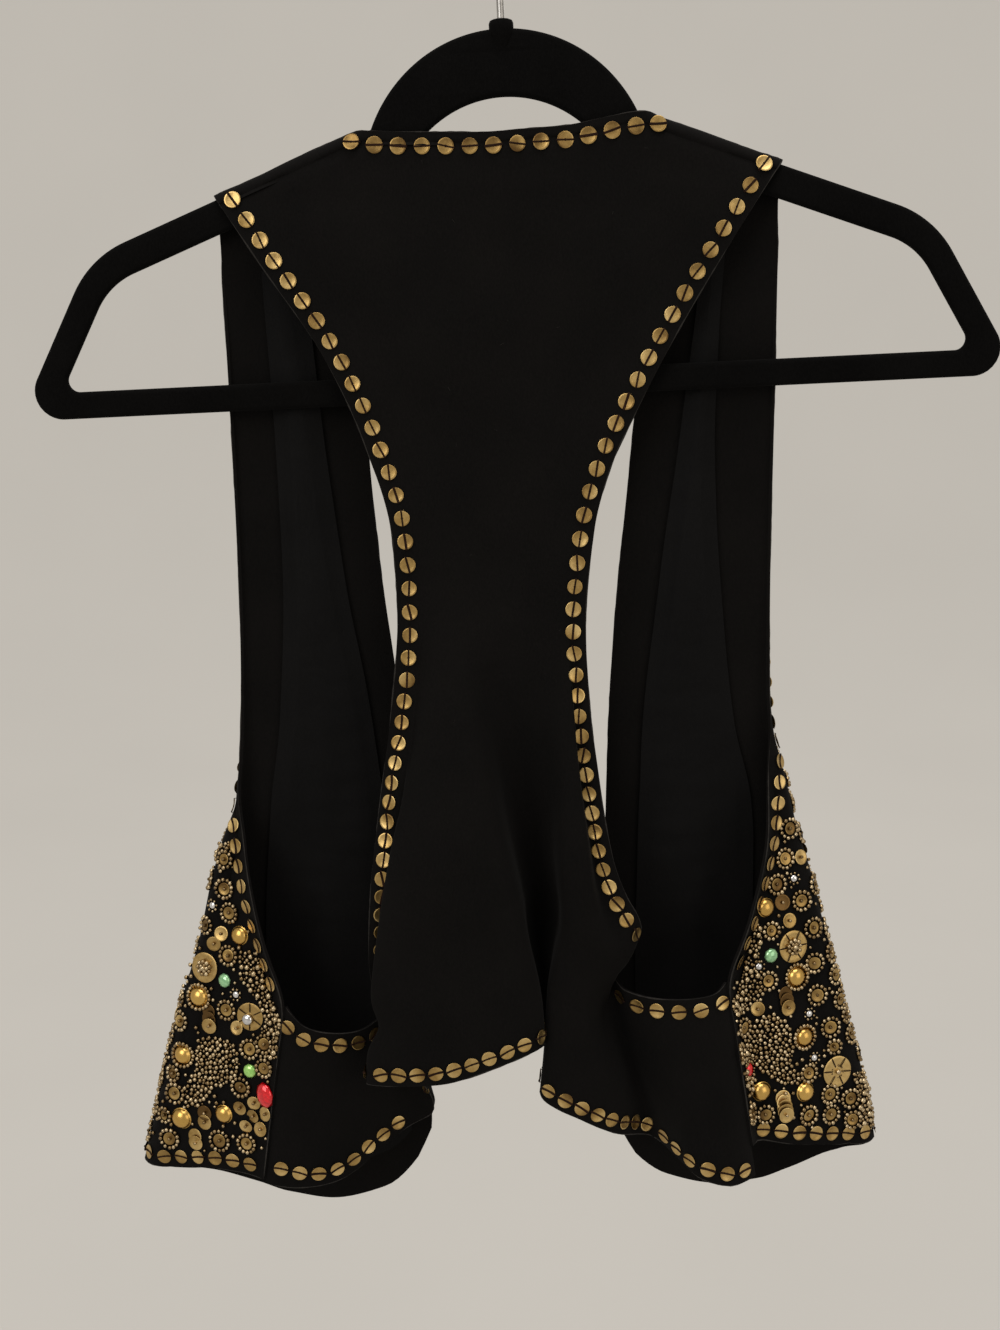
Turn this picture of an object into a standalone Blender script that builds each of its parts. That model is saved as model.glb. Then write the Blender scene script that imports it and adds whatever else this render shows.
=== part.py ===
"""Sleeveless vest with a racer back, hung on a flat flocked hanger, seen from behind.

Metres, +Z up. The origin is the inner top of the hook's crook, where a rail carries it.
The back of the vest faces -Y, its two fronts face +Y, and the wearer's left is at -X.
"""
import bpy
import bmesh
import math
import numpy as np
from mathutils import Vector

# Driving sizes of the cloth
BACK_WALL = 0.0016
FRONT_WALL = 0.0018
LINING_WALL = 0.0010
SIDE_SEAM_SETBACK = 0.0004
SHOULDER_SEAM_SETBACK = 0.0005

# Driving sizes of the hanger
HANGER_TILT = math.radians(2.7)
HANGER_OFFSET = -0.0025
HANGER_THICKNESS = 0.0050
HANGER_EDGE_ROUND = 0.0016
ARM_SLOPE = math.radians(20.6)
ARM_WIDTH = 0.0140
BAR_TOP = -0.2113
BAR_BOTTOM = -0.2234
ARCH_OUTER_RADIUS = 0.0650
ARCH_OUTER_CENTRE = -0.1290
ARCH_INNER_RADIUS = 0.0520
ARCH_INNER_CENTRE = -0.1444
ARM_START = 0.0630
ARM_START_LEVEL = -0.1045
ARM_BEND = 0.1900
ARM_BEND_ROUND = 0.0480
END_CORNER = 0.2300
END_ROUND = 0.0125
END_WIDTH = 0.0125
INNER_END_ROUND = 0.0050
INNER_ARCH_REACH = 0.0400

# Driving sizes of the hook and its boss
WIRE_RADIUS = 0.0016
CROOK_RADIUS = 0.0186
BOSS_RADIUS = 0.0054
BOSS_TOP = -0.0604
BOSS_DEPTH = 0.0110
BORE_DEPTH = 0.0120
BORE_CLEARANCE = 0.0003
SHANK_ABOVE_BOSS = 0.0040
SWING_ABOVE_BOSS = 0.0100
CROOK_SWEEP = math.radians(205.0)

# How the cloth rolls over the hanger's arms
ROLL_RADIUS = HANGER_THICKNESS / 2 + 0.0018
ROLL_LIFT = 0.0016
ROLL_EASE = 0.40
ROLL_STEPS = (0.0, 0.12, 0.42, 1.0)
NECK_ROLL_OFF = 0.0060

# Grid sizes
BACK_ROWS_UPPER = 13
BACK_ROWS_LOWER = 20
BACK_COLUMNS = 29
STRIP_COLUMNS = 6
FRONT_ROWS = 42
FRONT_COLUMNS = 20
LINING_ROWS = 20
LINING_COLUMNS = 7
CURVE_SAMPLES = 400
RUN_SAMPLES = 60
TURN_SAMPLES = 40
HANGER_ARC_STEPS = 10
HANGER_CORNER_STEPS = 6
SWING_STEPS = 9
CROOK_STEPS = 22
BEND_WEIGHT = 0.012

# Where the back begins to fall in folds, how much of the fall is straight from there,
# and how much sooner a fold deepens than it moves across
WAIST_LEVEL = -0.325
STRAIGHT_FALL = 0.35
DEPTH_POWER = 1.6

# Cut edge of the back from each shoulder end to the hem, along its armholes and then its tucks
BACK_LEFT_EDGE = (
    # level, across, depth
    (-0.1380, -0.1275, -0.0046),
    (-0.1450, -0.1225, -0.0054),
    (-0.1660, -0.1080, -0.0066),
    (-0.2090, -0.0785, -0.0076),
    (-0.2450, -0.0620, -0.0080),
    (-0.2880, -0.0497, -0.0095),
    (-0.3250, -0.0478, -0.0110),
    (-0.3650, -0.0508, -0.0130),
    (-0.4200, -0.0577, -0.0190),
    (-0.4560, -0.0617, -0.0250),
    (-0.4900, -0.0632, -0.0250),
    (-0.5100, -0.0622, -0.0180),
    (-0.5250, -0.0595, -0.0100),
    (-0.5830, -0.0345, 0.0040),
)
BACK_RIGHT_EDGE = (
    # level, across, depth
    (-0.1230, 0.1255, -0.0046),
    (-0.1300, 0.1205, -0.0054),
    (-0.1800, 0.0894, -0.0066),
    (-0.2105, 0.0722, -0.0075),
    (-0.2350, 0.0600, -0.0080),
    (-0.2555, 0.0508, -0.0085),
    (-0.2820, 0.0438, -0.0095),
    (-0.3250, 0.0400, -0.0110),
    (-0.3600, 0.0419, -0.0130),
    (-0.4010, 0.0470, -0.0170),
    (-0.4370, 0.0535, -0.0230),
    (-0.4560, 0.0600, -0.0262),
    (-0.4680, 0.0660, -0.0270),
    (-0.4760, 0.0676, -0.0240),
    (-0.4880, 0.0620, -0.0165),
    (-0.5040, 0.0558, -0.0110),
    (-0.5870, 0.0770, -0.0140),
)
LEFT_TUCK_TOP = -0.5250
RIGHT_TUCK_TOP = -0.5040

# Free edge of the back neck between the two shoulders
NECK_EDGE = (
    # across, level
    (-0.0660, -0.1085),
    (-0.0610, -0.1072),
    (-0.0410, -0.1076),
    (-0.0110, -0.1077),
    (0.0110, -0.1064),
    (0.0300, -0.1048),
    (0.0460, -0.1016),
    (0.0630, -0.0990),
    (0.0690, -0.1006),
)

# Folds of the flared lower back, each running from the waist down to the hem
BACK_FOLDS = (
    # name, share of the waist, across, depth and level at the hem, where its fall begins and ends
    ("left turn", 0.110, -0.0375, -0.0070, -0.5635, 0.25, 0.92),
    ("left return", 0.125, -0.0500, -0.0210, -0.5530, 0.25, 0.92),
    ("left ridge", 0.140, -0.0630, -0.0360, -0.5470, 0.25, 0.92),
    ("left lobe", 0.210, -0.0260, -0.0440, -0.5430, 0.00, 1.00),
    ("left lip", 0.330, 0.0195, -0.0340, -0.5290, 0.00, 1.00),
    ("valley left", 0.480, 0.0180, -0.0090, -0.5360, 0.00, 1.00),
    ("valley floor", 0.620, 0.0215, 0.0020, -0.5430, 0.00, 1.00),
    ("valley right", 0.750, 0.0250, -0.0090, -0.5490, 0.00, 1.00),
    ("right lip", 0.875, 0.0212, -0.0300, -0.5570, 0.00, 1.00),
    ("right lobe", 0.905, 0.0400, -0.0345, -0.5670, 0.00, 1.00),
    ("right ridge", 0.930, 0.0570, -0.0280, -0.5775, 0.66, 1.00),
)

# Plain sides of the back under the armholes, from each side seam inwards to the tuck
LEFT_STRIP = (
    # name, then across, depth and level at the armhole and at the hem
    ("side seam", -0.1036, -0.0265, -0.5120, -0.1170, -0.0240, -0.6070),
    ("outer side", -0.0945, -0.0255, -0.5225, -0.0985, -0.0250, -0.6085),
    ("inner side", -0.0820, -0.0210, -0.5280, -0.0780, -0.0200, -0.6060),
    ("side edge", -0.0690, -0.0145, -0.5295, -0.0480, -0.0055, -0.5870),
)
RIGHT_STRIP = (
    # name, then across, depth and level at the armhole and at the hem
    ("side seam", 0.1085, -0.0285, -0.4985, 0.1255, -0.0320, -0.5985),
    ("outer side", 0.1020, -0.0300, -0.5040, 0.1120, -0.0385, -0.5995),
    ("inner side", 0.0760, -0.0265, -0.5075, 0.0985, -0.0370, -0.5965),
    ("side edge", 0.0610, -0.0185, -0.5065, 0.0880, -0.0255, -0.5920),
)

# Each front from the shoulder down: its inner edge, its rounded outer fold and its outer edge
FRONT_LEFT_SECTIONS = (
    # level, inner edge, outer fold, outer edge, outer edge depth, fold radius, depth of the front
    (-0.1370, -0.0660, -0.1278, -0.1278, 0.0046, 0.0000, 0.0046),
    (-0.1650, -0.0665, -0.1268, -0.1268, 0.0058, 0.0004, 0.0064),
    (-0.2245, -0.0645, -0.1250, -0.1250, 0.0060, 0.0022, 0.0084),
    (-0.3190, -0.0575, -0.1238, -0.1238, 0.0062, 0.0034, 0.0100),
    (-0.3680, -0.0510, -0.1248, -0.1248, 0.0060, 0.0044, 0.0115),
    (-0.4080, -0.0475, -0.1275, -0.1250, 0.0020, 0.0060, 0.0130),
    (-0.4350, -0.0450, -0.1345, -0.1238, -0.0060, 0.0080, 0.0145),
    (-0.4620, -0.0430, -0.1425, -0.1192, -0.0150, 0.0095, 0.0155),
    (-0.4900, -0.0410, -0.1500, -0.1115, -0.0225, 0.0110, 0.0170),
    (-0.5120, -0.0395, -0.1570, -0.1036, -0.0265, 0.0120, 0.0185),
    (-0.5340, -0.0380, -0.1630, -0.1067, -0.0259, 0.0130, 0.0195),
    (-0.5670, -0.0365, -0.1730, -0.1115, -0.0250, 0.0140, 0.0215),
    (-0.6070, -0.0360, -0.1830, -0.1170, -0.0240, 0.0145, 0.0240),
)
FRONT_RIGHT_SECTIONS = (
    # level, inner edge, outer fold, outer edge, outer edge depth, fold radius, depth of the front
    (-0.1220, 0.0690, 0.1255, 0.1255, 0.0046, 0.0000, 0.0046),
    (-0.1500, 0.0690, 0.1258, 0.1258, 0.0058, 0.0004, 0.0064),
    (-0.2245, 0.0645, 0.1268, 0.1268, 0.0060, 0.0022, 0.0084),
    (-0.3190, 0.0565, 0.1282, 0.1282, 0.0062, 0.0034, 0.0100),
    (-0.3680, 0.0535, 0.1300, 0.1280, 0.0060, 0.0044, 0.0115),
    (-0.4000, 0.0528, 0.1365, 0.1292, 0.0005, 0.0060, 0.0130),
    (-0.4300, 0.0525, 0.1442, 0.1292, -0.0080, 0.0080, 0.0145),
    (-0.4560, 0.0525, 0.1526, 0.1236, -0.0175, 0.0095, 0.0155),
    (-0.4800, 0.0528, 0.1590, 0.1160, -0.0255, 0.0110, 0.0170),
    (-0.4985, 0.0535, 0.1655, 0.1085, -0.0285, 0.0120, 0.0185),
    (-0.5240, 0.0545, 0.1720, 0.1128, -0.0294, 0.0130, 0.0195),
    (-0.5600, 0.0570, 0.1840, 0.1190, -0.0307, 0.0140, 0.0215),
    (-0.5985, 0.0650, 0.1930, 0.1255, -0.0320, 0.0145, 0.0240),
)
FRONT_HEM = (
    # share from the inner edge to the side seam, level on the left, level on the right
    (0.00, -0.6030, -0.6060),
    (0.03, -0.6215, -0.6190),
    (0.09, -0.6370, -0.6300),
    (0.20, -0.6450, -0.6365),
    (0.28, -0.6420, -0.6345),
    (0.34, -0.6350, -0.6280),
    (0.42, -0.6270, -0.6170),
    (0.53, -0.6210, -0.6085),
    (0.64, -0.6110, -0.5985),
    (0.82, -0.6085, -0.5985),
    (1.00, -0.6070, -0.5985),
)

# How much shorter each front's hem is cut where it turns to the back
FRONT_HEM_CUT = (
    # share from the inner edge to the side seam, height on the left, height on the right
    (0.00, 0.0000, 0.0000),
    (0.58, 0.0000, 0.0010),
    (0.68, 0.0000, 0.0015),
    (0.80, 0.0000, 0.0040),
    (0.84, 0.0010, 0.0065),
    (0.90, 0.0035, 0.0100),
    (0.95, 0.0035, 0.0130),
    (1.00, 0.0022, 0.0160),
)
HEM_CUT_POWER = 8

# Soft upright waves of the fronts: share across, width, and height at the hem
FRONT_WAVES = (
    (0.28, 0.10, 0.0030),
    (0.52, 0.09, -0.0030),
)

# Lining inside each front, set in from its edges
LINING_CLEARANCE = 0.0009
LINING_FROM_SHOULDER = 0.045
LINING_FROM_HEM = 0.022
LINING_FROM_INNER_EDGE = 0.024

# Edge of each lining beside the armhole, which leaves a facing band of the front's own cloth
LINING_LEFT_EDGE = (
    # level, across
    (-0.1400, -0.1090),
    (-0.1660, -0.1085),
    (-0.2300, -0.1054),
    (-0.3080, -0.1033),
    (-0.3780, -0.1071),
    (-0.4180, -0.1125),
    (-0.4770, -0.1178),
    (-0.6200, -0.1230),
)
LINING_RIGHT_EDGE = (
    # level, across
    (-0.1300, 0.1035),
    (-0.1560, 0.1023),
    (-0.1890, 0.1005),
    (-0.2340, 0.0999),
    (-0.2720, 0.1016),
    (-0.3270, 0.1068),
    (-0.3790, 0.1140),
    (-0.4180, 0.1238),
    (-0.4410, 0.1261),
    (-0.6200, 0.1310),
)

# Raised ornaments on the outer faces of the fronts, set in staggered rows on the cloth's own grid
ORNAMENT_HEIGHT = 0.0022
ORNAMENT_STEP = 2
ORNAMENT_FIRST_ROW = len(ROLL_STEPS)
ORNAMENT_MARGIN = 2

for old in list(bpy.data.objects):
    bpy.data.objects.remove(old, do_unlink=True)


def new_collection(name):
    collection = bpy.data.collections.new(name)
    bpy.context.scene.collection.children.link(collection)
    return collection


PARTS = new_collection("sequin_vest")
CUTTERS = new_collection("cutters")


def material(name, colour, roughness, metallic=0.0):
    made = bpy.data.materials.new(name)
    made.use_nodes = True
    shader = made.node_tree.nodes["Principled BSDF"]
    shader.inputs["Base Color"].default_value = (*colour, 1.0)
    shader.inputs["Roughness"].default_value = roughness
    shader.inputs["Metallic"].default_value = metallic
    return made


def add_object(name, data, collection, finish=None):
    made = bpy.data.objects.new(name, data)
    collection.objects.link(made)
    if finish is not None:
        data.materials.append(finish)
    return made


def as_mesh_object(source, name, finish):
    """The evaluated shape of an object as a plain mesh, with its loose caps welded."""
    bpy.context.view_layer.update()
    evaluated = source.evaluated_get(bpy.context.evaluated_depsgraph_get())
    mesh = bpy.data.meshes.new_from_object(evaluated)
    mesh.name = name
    bm = bmesh.new()
    bm.from_mesh(mesh)
    bmesh.ops.remove_doubles(bm, verts=bm.verts, dist=0.00005)
    bmesh.ops.recalc_face_normals(bm, faces=bm.faces)
    if bm.calc_volume(signed=True) < 0:
        bmesh.ops.reverse_faces(bm, faces=bm.faces)
    bm.to_mesh(mesh)
    bm.free()
    mesh.materials.clear()
    made = add_object(name, mesh, PARTS, finish)
    made.matrix_world = source.matrix_world
    bpy.data.objects.remove(source, do_unlink=True)
    return made


def shade(obj, angle=40.0):
    obj.data.shade_smooth()
    obj.data.set_sharp_from_angle(angle=math.radians(angle))


def table_curve(rows, column, at):
    """One column of a table at the given places of its first column, on a curve with no overshoot."""
    table = np.array([[row[0], row[column]] for row in rows])
    table = table[np.argsort(table[:, 0])]
    xs, ys = table[:, 0], table[:, 1]
    steps = np.diff(xs)
    slopes = np.diff(ys) / steps
    tangents = np.zeros(len(xs))
    tangents[0], tangents[-1] = slopes[0], slopes[-1]
    for i in range(1, len(xs) - 1):
        if slopes[i - 1] * slopes[i] > 0:
            tangents[i] = 2 * slopes[i - 1] * slopes[i] / (slopes[i - 1] + slopes[i])
    at = np.clip(np.asarray(at, dtype=float), xs[0], xs[-1])
    i = np.clip(np.searchsorted(xs, at) - 1, 0, len(steps) - 1)
    t = (at - xs[i]) / steps[i]
    rise = ys[i] * (1 + 2 * t) * (1 - t) ** 2 + ys[i + 1] * t * t * (3 - 2 * t)
    return rise + steps[i] * (tangents[i] * t * (1 - t) ** 2 + tangents[i + 1] * t * t * (t - 1))


def smooth_path(stations, samples):
    """Points of a smooth curve through the stations, evenly many between each pair."""
    points = np.array(stations, dtype=float)
    padded = np.vstack((2 * points[0] - points[1], points, 2 * points[-1] - points[-2]))
    path = []
    per_pair = max(4, samples // (len(points) - 1))
    for i in range(len(points) - 1):
        a, b, c, d = padded[i:i + 4]
        knots = np.cumsum([0.0] + [max(1e-6, np.linalg.norm(q - p)) ** 0.5
                                   for p, q in ((a, b), (b, c), (c, d))])
        t = np.linspace(knots[1], knots[2], per_pair, endpoint=False)[:, None]
        ab = (knots[1] - t) / knots[1] * a + t / knots[1] * b
        bc = (knots[2] - t) / (knots[2] - knots[1]) * b + (t - knots[1]) / (knots[2] - knots[1]) * c
        cd = (knots[3] - t) / (knots[3] - knots[2]) * c + (t - knots[2]) / (knots[3] - knots[2]) * d
        abc = (knots[2] - t) / knots[2] * ab + t / knots[2] * bc
        bcd = (knots[3] - t) / (knots[3] - knots[1]) * bc + (t - knots[1]) / (knots[3] - knots[1]) * cd
        path.append((knots[2] - t) / (knots[2] - knots[1]) * abc
                    + (t - knots[1]) / (knots[2] - knots[1]) * bcd)
    path.append(points[-1:])
    return np.vstack(path)


def trimmed(path, at_start, at_end):
    """A path shortened by a length at each end."""
    lengths = np.linalg.norm(np.diff(path, axis=0), axis=1)
    along = np.concatenate(([0.0], np.cumsum(lengths)))
    first, last = at_start, along[-1] - at_end
    keep = path[(along > first) & (along < last)]
    ends = [[np.interp(at, along, path[:, k]) for k in range(3)] for at in (first, last)]
    return np.vstack((ends[0], keep, ends[1]))


def spread(path, columns):
    """Points along a path, closer together where it bends."""
    steps = np.diff(path, axis=0)
    lengths = np.linalg.norm(steps, axis=1)
    unit = steps / np.maximum(lengths, 1e-9)[:, None]
    turn = np.arccos(np.clip((unit[1:] * unit[:-1]).sum(axis=1), -1, 1))
    turns = np.concatenate(([0.0], turn))
    weight = np.concatenate(([0.0], np.cumsum(lengths + BEND_WEIGHT * turns)))
    at = np.linspace(0, weight[-1], columns + 1)
    return np.column_stack([np.interp(at, weight, path[:, k]) for k in range(3)])


def hanger_world(x, z):
    """A point of the level hanger after it is tilted about the origin."""
    x = x + HANGER_OFFSET
    cos, sin = math.cos(HANGER_TILT), math.sin(HANGER_TILT)
    return x * cos - z * sin, x * sin + z * cos


def arm_top(x):
    """Level of the top of the tilted hanger arm below a shoulder."""
    side = math.copysign(1.0, x)
    near = hanger_world(side * ARM_START, ARM_START_LEVEL)
    run = ARM_BEND - ARM_START
    far = hanger_world(side * ARM_BEND, ARM_START_LEVEL - run * math.tan(ARM_SLOPE))
    return near[1] + (x - near[0]) * (far[1] - near[1]) / (far[0] - near[0])


def roll_depth(below):
    """How far the cloth stands off the hanger's plane at a distance below a shoulder's crest."""
    inside = max(0.0, ROLL_RADIUS - max(0.0, below))
    return max(SHOULDER_SEAM_SETBACK, math.sqrt(ROLL_RADIUS ** 2 - inside ** 2))


def shoulder_crest(x):
    return arm_top(x) + ROLL_LIFT


def back_top(x):
    """Level of the back's top edge, and how much of it rolls over the hanger there."""
    inner_left, inner_right = NECK_EDGE[0][0], NECK_EDGE[-1][0]
    if x <= inner_left or x >= inner_right:
        return shoulder_crest(x), 1.0
    level = float(table_curve(NECK_EDGE, 1, x))
    from_end = min(x - inner_left, inner_right - x)
    return level, max(0.0, 1.0 - from_end / NECK_ROLL_OFF)


def back_upper_row(share):
    """A row of the back between its top edge, at share 0, and the waist, at share 1."""
    row = []
    left_level = BACK_LEFT_EDGE[0][0] + share * (WAIST_LEVEL - BACK_LEFT_EDGE[0][0])
    right_level = BACK_RIGHT_EDGE[0][0] + share * (WAIST_LEVEL - BACK_RIGHT_EDGE[0][0])
    left = float(table_curve(BACK_LEFT_EDGE, 1, left_level))
    right = float(table_curve(BACK_RIGHT_EDGE, 1, right_level))
    top_left, top_right = BACK_LEFT_EDGE[0][1], BACK_RIGHT_EDGE[0][1]
    for i in range(BACK_COLUMNS + 1):
        a = i / BACK_COLUMNS
        x = left + (right - left) * a
        top, rolled = back_top(top_left + (top_right - top_left) * a)
        z = top + share * (WAIST_LEVEL - top)
        left_depth = float(table_curve(BACK_LEFT_EDGE, 2, z))
        right_depth = float(table_curve(BACK_RIGHT_EDGE, 2, z))
        hang = left_depth + (right_depth - left_depth) * a
        below = top - z
        rolled_depth = roll_depth(below) + ROLL_EASE * max(0.0, below - ROLL_RADIUS)
        y = hang * (1 - rolled) + max(hang, -rolled_depth) * rolled
        row.append((x, y, z))
    return np.array(row)


def edge_point(rows, tuck_top, tuck_share, share):
    """A point on the back's cut edge down to its tuck, then on the tuck down to the hem."""
    if share <= tuck_share:
        level = WAIST_LEVEL + (tuck_top - WAIST_LEVEL) * share / tuck_share
    else:
        level = tuck_top + (rows[-1][0] - tuck_top) * (share - tuck_share) / (1 - tuck_share)
    return (float(table_curve(rows, 1, level)), float(table_curve(rows, 2, level)), level)


def strip_point(row, share):
    start, end = np.array(row[1:4]), np.array(row[4:7])
    return start + (end - start) * share


def back_lower_row(share, tuck_share):
    """A row of the back from the waist, at share 0, to the hem, as left strip, middle, right strip."""
    left = edge_point(BACK_LEFT_EDGE, LEFT_TUCK_TOP, tuck_share, share)
    right = edge_point(BACK_RIGHT_EDGE, RIGHT_TUCK_TOP, tuck_share, share)
    middle = [left]
    for _, across, hem_x, hem_y, hem_z, begins, ends in BACK_FOLDS:
        flat = np.array(left) + (np.array(right) - np.array(left)) * across
        level = WAIST_LEVEL + share * (hem_z - WAIST_LEVEL)
        eased = min(1.0, max(0.0, (share - begins) / (ends - begins)))
        straight = STRAIGHT_FALL if begins == 0.0 else 0.0
        fall = straight * share + (1 - straight) * eased * eased * (3 - 2 * eased)
        x = flat[0] + (hem_x - flat[0]) * fall
        y = flat[1] + (hem_y - flat[1]) * (1 - (1 - fall) ** DEPTH_POWER)
        middle.append((x, y, level))
    middle.append(right)
    if share < tuck_share:
        return None, spread(smooth_path(middle, CURVE_SAMPLES), BACK_COLUMNS), None
    strip_share = (share - tuck_share) / (1 - tuck_share)
    left_strip = [strip_point(row, strip_share) for row in LEFT_STRIP]
    right_strip = [strip_point(row, strip_share) for row in reversed(RIGHT_STRIP)]
    stations = left_strip + middle + right_strip
    path = smooth_path(stations, CURVE_SAMPLES)
    per_pair = (len(path) - 1) // (len(stations) - 1)
    first = len(left_strip) * per_pair
    last = (len(left_strip) + len(middle) - 1) * per_pair
    return (spread(trimmed(path[:first + 1], SIDE_SEAM_SETBACK, 0.0), STRIP_COLUMNS),
            spread(path[first:last + 1], BACK_COLUMNS),
            spread(trimmed(path[last:], 0.0, SIDE_SEAM_SETBACK), STRIP_COLUMNS))


def back_rows():
    """All rows of the back: its middle, and the strips under the armholes where they exist."""
    rise = WAIST_LEVEL - BACK_LEFT_EDGE[0][0]
    rolls = [-ROLL_RADIUS * step / rise for step in ROLL_STEPS]
    upper = rolls + list(np.linspace(0, 1, BACK_ROWS_UPPER + 1)[1:-1])
    middle = [back_upper_row(share) for share in upper]
    strips_left, strips_right = [], []
    corner = (LEFT_TUCK_TOP - WAIST_LEVEL) / (BACK_LEFT_EDGE[-1][0] - WAIST_LEVEL)
    corner_row = round(corner * BACK_ROWS_LOWER)
    above = np.linspace(0, corner, corner_row + 1)[:-1]
    below = np.linspace(corner, 1, BACK_ROWS_LOWER - corner_row + 1)
    for share in np.concatenate((above, below)):
        left, centre, right = back_lower_row(share, corner)
        middle.append(centre)
        if left is not None:
            strips_left.append(left)
            strips_right.append(right)
    return middle, strips_left, strips_right


def sheet_mesh(name, blocks):
    """An open sheet from blocks of rows. Points that two blocks share are welded."""
    bm = bmesh.new()
    for rows in blocks:
        lines = [[bm.verts.new(point) for point in row] for row in rows]
        for above, below in zip(lines, lines[1:]):
            for i in range(len(above) - 1):
                bm.faces.new((above[i], below[i], below[i + 1], above[i + 1]))
    bmesh.ops.remove_doubles(bm, verts=bm.verts, dist=0.00002)
    mesh = bpy.data.meshes.new(name)
    bm.to_mesh(mesh)
    bm.free()
    return mesh


def thicken(obj, thickness, offset):
    wall = obj.modifiers.new("wall", "SOLIDIFY")
    wall.thickness = thickness
    wall.offset = offset
    wall.use_even_offset = False


def build_back():
    cloth = material("back cloth", (0.010, 0.009, 0.009), 0.85)
    middle, left, right = back_rows()
    back = add_object("back", sheet_mesh("back", (middle, left, right)), PARTS, cloth)
    thicken(back, BACK_WALL, 0.0)
    shade(back, 60.0)


def front_section(rows, level, side):
    """A level section of a front, from its inner edge round its outer fold to its outer edge."""
    inner, fold, edge, edge_depth, radius, depth = (
        float(table_curve(rows, column, level)) for column in range(1, 7))
    inner, fold, edge = inner * side, fold * side, edge * side
    centre = fold - radius
    points = [(x, depth) for x in np.linspace(inner, centre, RUN_SAMPLES)]
    tail = fold - edge
    sweep = math.pi if tail > radius else math.pi / 2 + math.asin(tail / max(radius, 1e-6))
    for angle in np.linspace(0, sweep, TURN_SAMPLES)[1:]:
        points.append((centre + radius * math.sin(angle), depth - radius + radius * math.cos(angle)))
    if tail > radius:
        turned = points[-1]
        for t in np.linspace(0, 1, TURN_SAMPLES)[1:]:
            points.append((turned[0] + (edge - turned[0]) * t, turned[1] + (edge_depth - turned[1]) * t))
    return np.array([(x * side, y, level) for x, y in points])


def wave_depth(share, down):
    total = 0.0
    for place, width, height in FRONT_WAVES:
        total += height * down * math.exp(-((share - place) / width) ** 2)
    return total


def front_rows(rows, side, hem_column):
    """Points of a front on a grid, from its shoulder seam to its hem."""
    crest_level, hem_level = rows[0][0], rows[-1][0]
    span = hem_level - crest_level
    rolls = [-ROLL_RADIUS * step / span for step in ROLL_STEPS]
    downs = rolls + list(np.linspace(0, 1, FRONT_ROWS + 1)[1:])
    grid = []
    for down in downs:
        level = crest_level + span * down
        flat = spread(trimmed(front_section(rows, level, side), 0.0, SIDE_SEAM_SETBACK), FRONT_COLUMNS)
        line = []
        for i, point in enumerate(flat):
            share = i / FRONT_COLUMNS
            top = shoulder_crest(rows[0][1] + (rows[0][2] - rows[0][1]) * share)
            hem = float(table_curve(FRONT_HEM, hem_column, share))
            z = top + (hem - top) * down
            y = min(point[1], roll_depth(top - z)) if top - z < ROLL_RADIUS else point[1]
            line.append((point[0], y + wave_depth(share, down), z))
        grid.append(line)
    grid, downs = np.array(grid), np.array(downs)
    for i in range(FRONT_COLUMNS + 1):
        cut = float(table_curve(FRONT_HEM_CUT, hem_column, i / FRONT_COLUMNS))
        shortened = downs - cut / (grid[0, i, 2] - grid[-1, i, 2]) * downs ** HEM_CUT_POWER
        grid[:, i] = np.column_stack([np.interp(shortened, downs, grid[:, i, k]) for k in range(3)])
    return grid


def grid_normals(grid, side):
    along = np.gradient(grid, axis=1)
    down = np.gradient(grid, axis=0)
    normal = np.cross(along, down)
    normal /= np.maximum(np.linalg.norm(normal, axis=2), 1e-12)[:, :, None]
    return normal * side


def path_lengths(grid, axis):
    steps = np.linalg.norm(np.diff(grid, axis=axis), axis=2)
    pad = [(0, 0), (0, 0)]
    pad[axis] = (1, 0)
    return np.cumsum(np.pad(steps, pad), axis=axis)


def ornament_height(grid):
    """How far each outer point is raised by the ornaments."""
    rows, columns = np.indices(grid.shape[:2])
    line = rows - ORNAMENT_FIRST_ROW
    stagger = (line // ORNAMENT_STEP) % ORNAMENT_STEP
    raised = (line >= 0) & (line % ORNAMENT_STEP == 0) & ((columns + stagger) % ORNAMENT_STEP == 0)
    raised &= (rows < grid.shape[0] - ORNAMENT_MARGIN)
    raised &= (columns >= ORNAMENT_MARGIN) & (columns < grid.shape[1] - ORNAMENT_MARGIN)
    return np.where(raised, ORNAMENT_HEIGHT, 0.0)


def build_front(name, rows, side, hem_column, cloth):
    """A front's wall. Its inside is plain and its outer points carry the raised ornaments."""
    grid = front_rows(rows, side, hem_column)
    outward = grid_normals(grid, side)
    sheet = add_object(name + " sheet", sheet_mesh(name, (grid,)), PARTS)
    thicken(sheet, FRONT_WALL, 0.0)
    wall = as_mesh_object(sheet, name, cloth)
    lift = ornament_height(grid).ravel()
    flat_points = grid.reshape(-1, 3)
    flat_normals = outward.reshape(-1, 3)
    for vertex in wall.data.vertices:
        gaps = flat_points - np.array(vertex.co)
        nearest = int(np.argmin((gaps ** 2).sum(axis=1)))
        if np.dot(gaps[nearest], flat_normals[nearest]) < 0:
            vertex.co += Vector(flat_normals[nearest] * lift[nearest])
    shade(wall, 60.0)
    return grid, outward


def build_lining(name, grid, outward, edge_rows, finish):
    """The lining that shows inside a front, made from the front's points and moved inwards."""
    down = path_lengths(grid, 0)
    inwards = FRONT_WALL / 2 + LINING_CLEARANCE + LINING_WALL / 2
    inner = grid - outward * inwards
    rows = []
    for i in range(LINING_ROWS + 1):
        row = []
        for k in range(LINING_COLUMNS + 1):
            row.append(lining_point(inner, down, edge_rows, i / LINING_ROWS, k / LINING_COLUMNS))
        rows.append(row)
    lining = add_object(name, sheet_mesh(name, (rows,)), PARTS, finish)
    thicken(lining, LINING_WALL, 0.0)
    shade(lining, 60.0)


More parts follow.
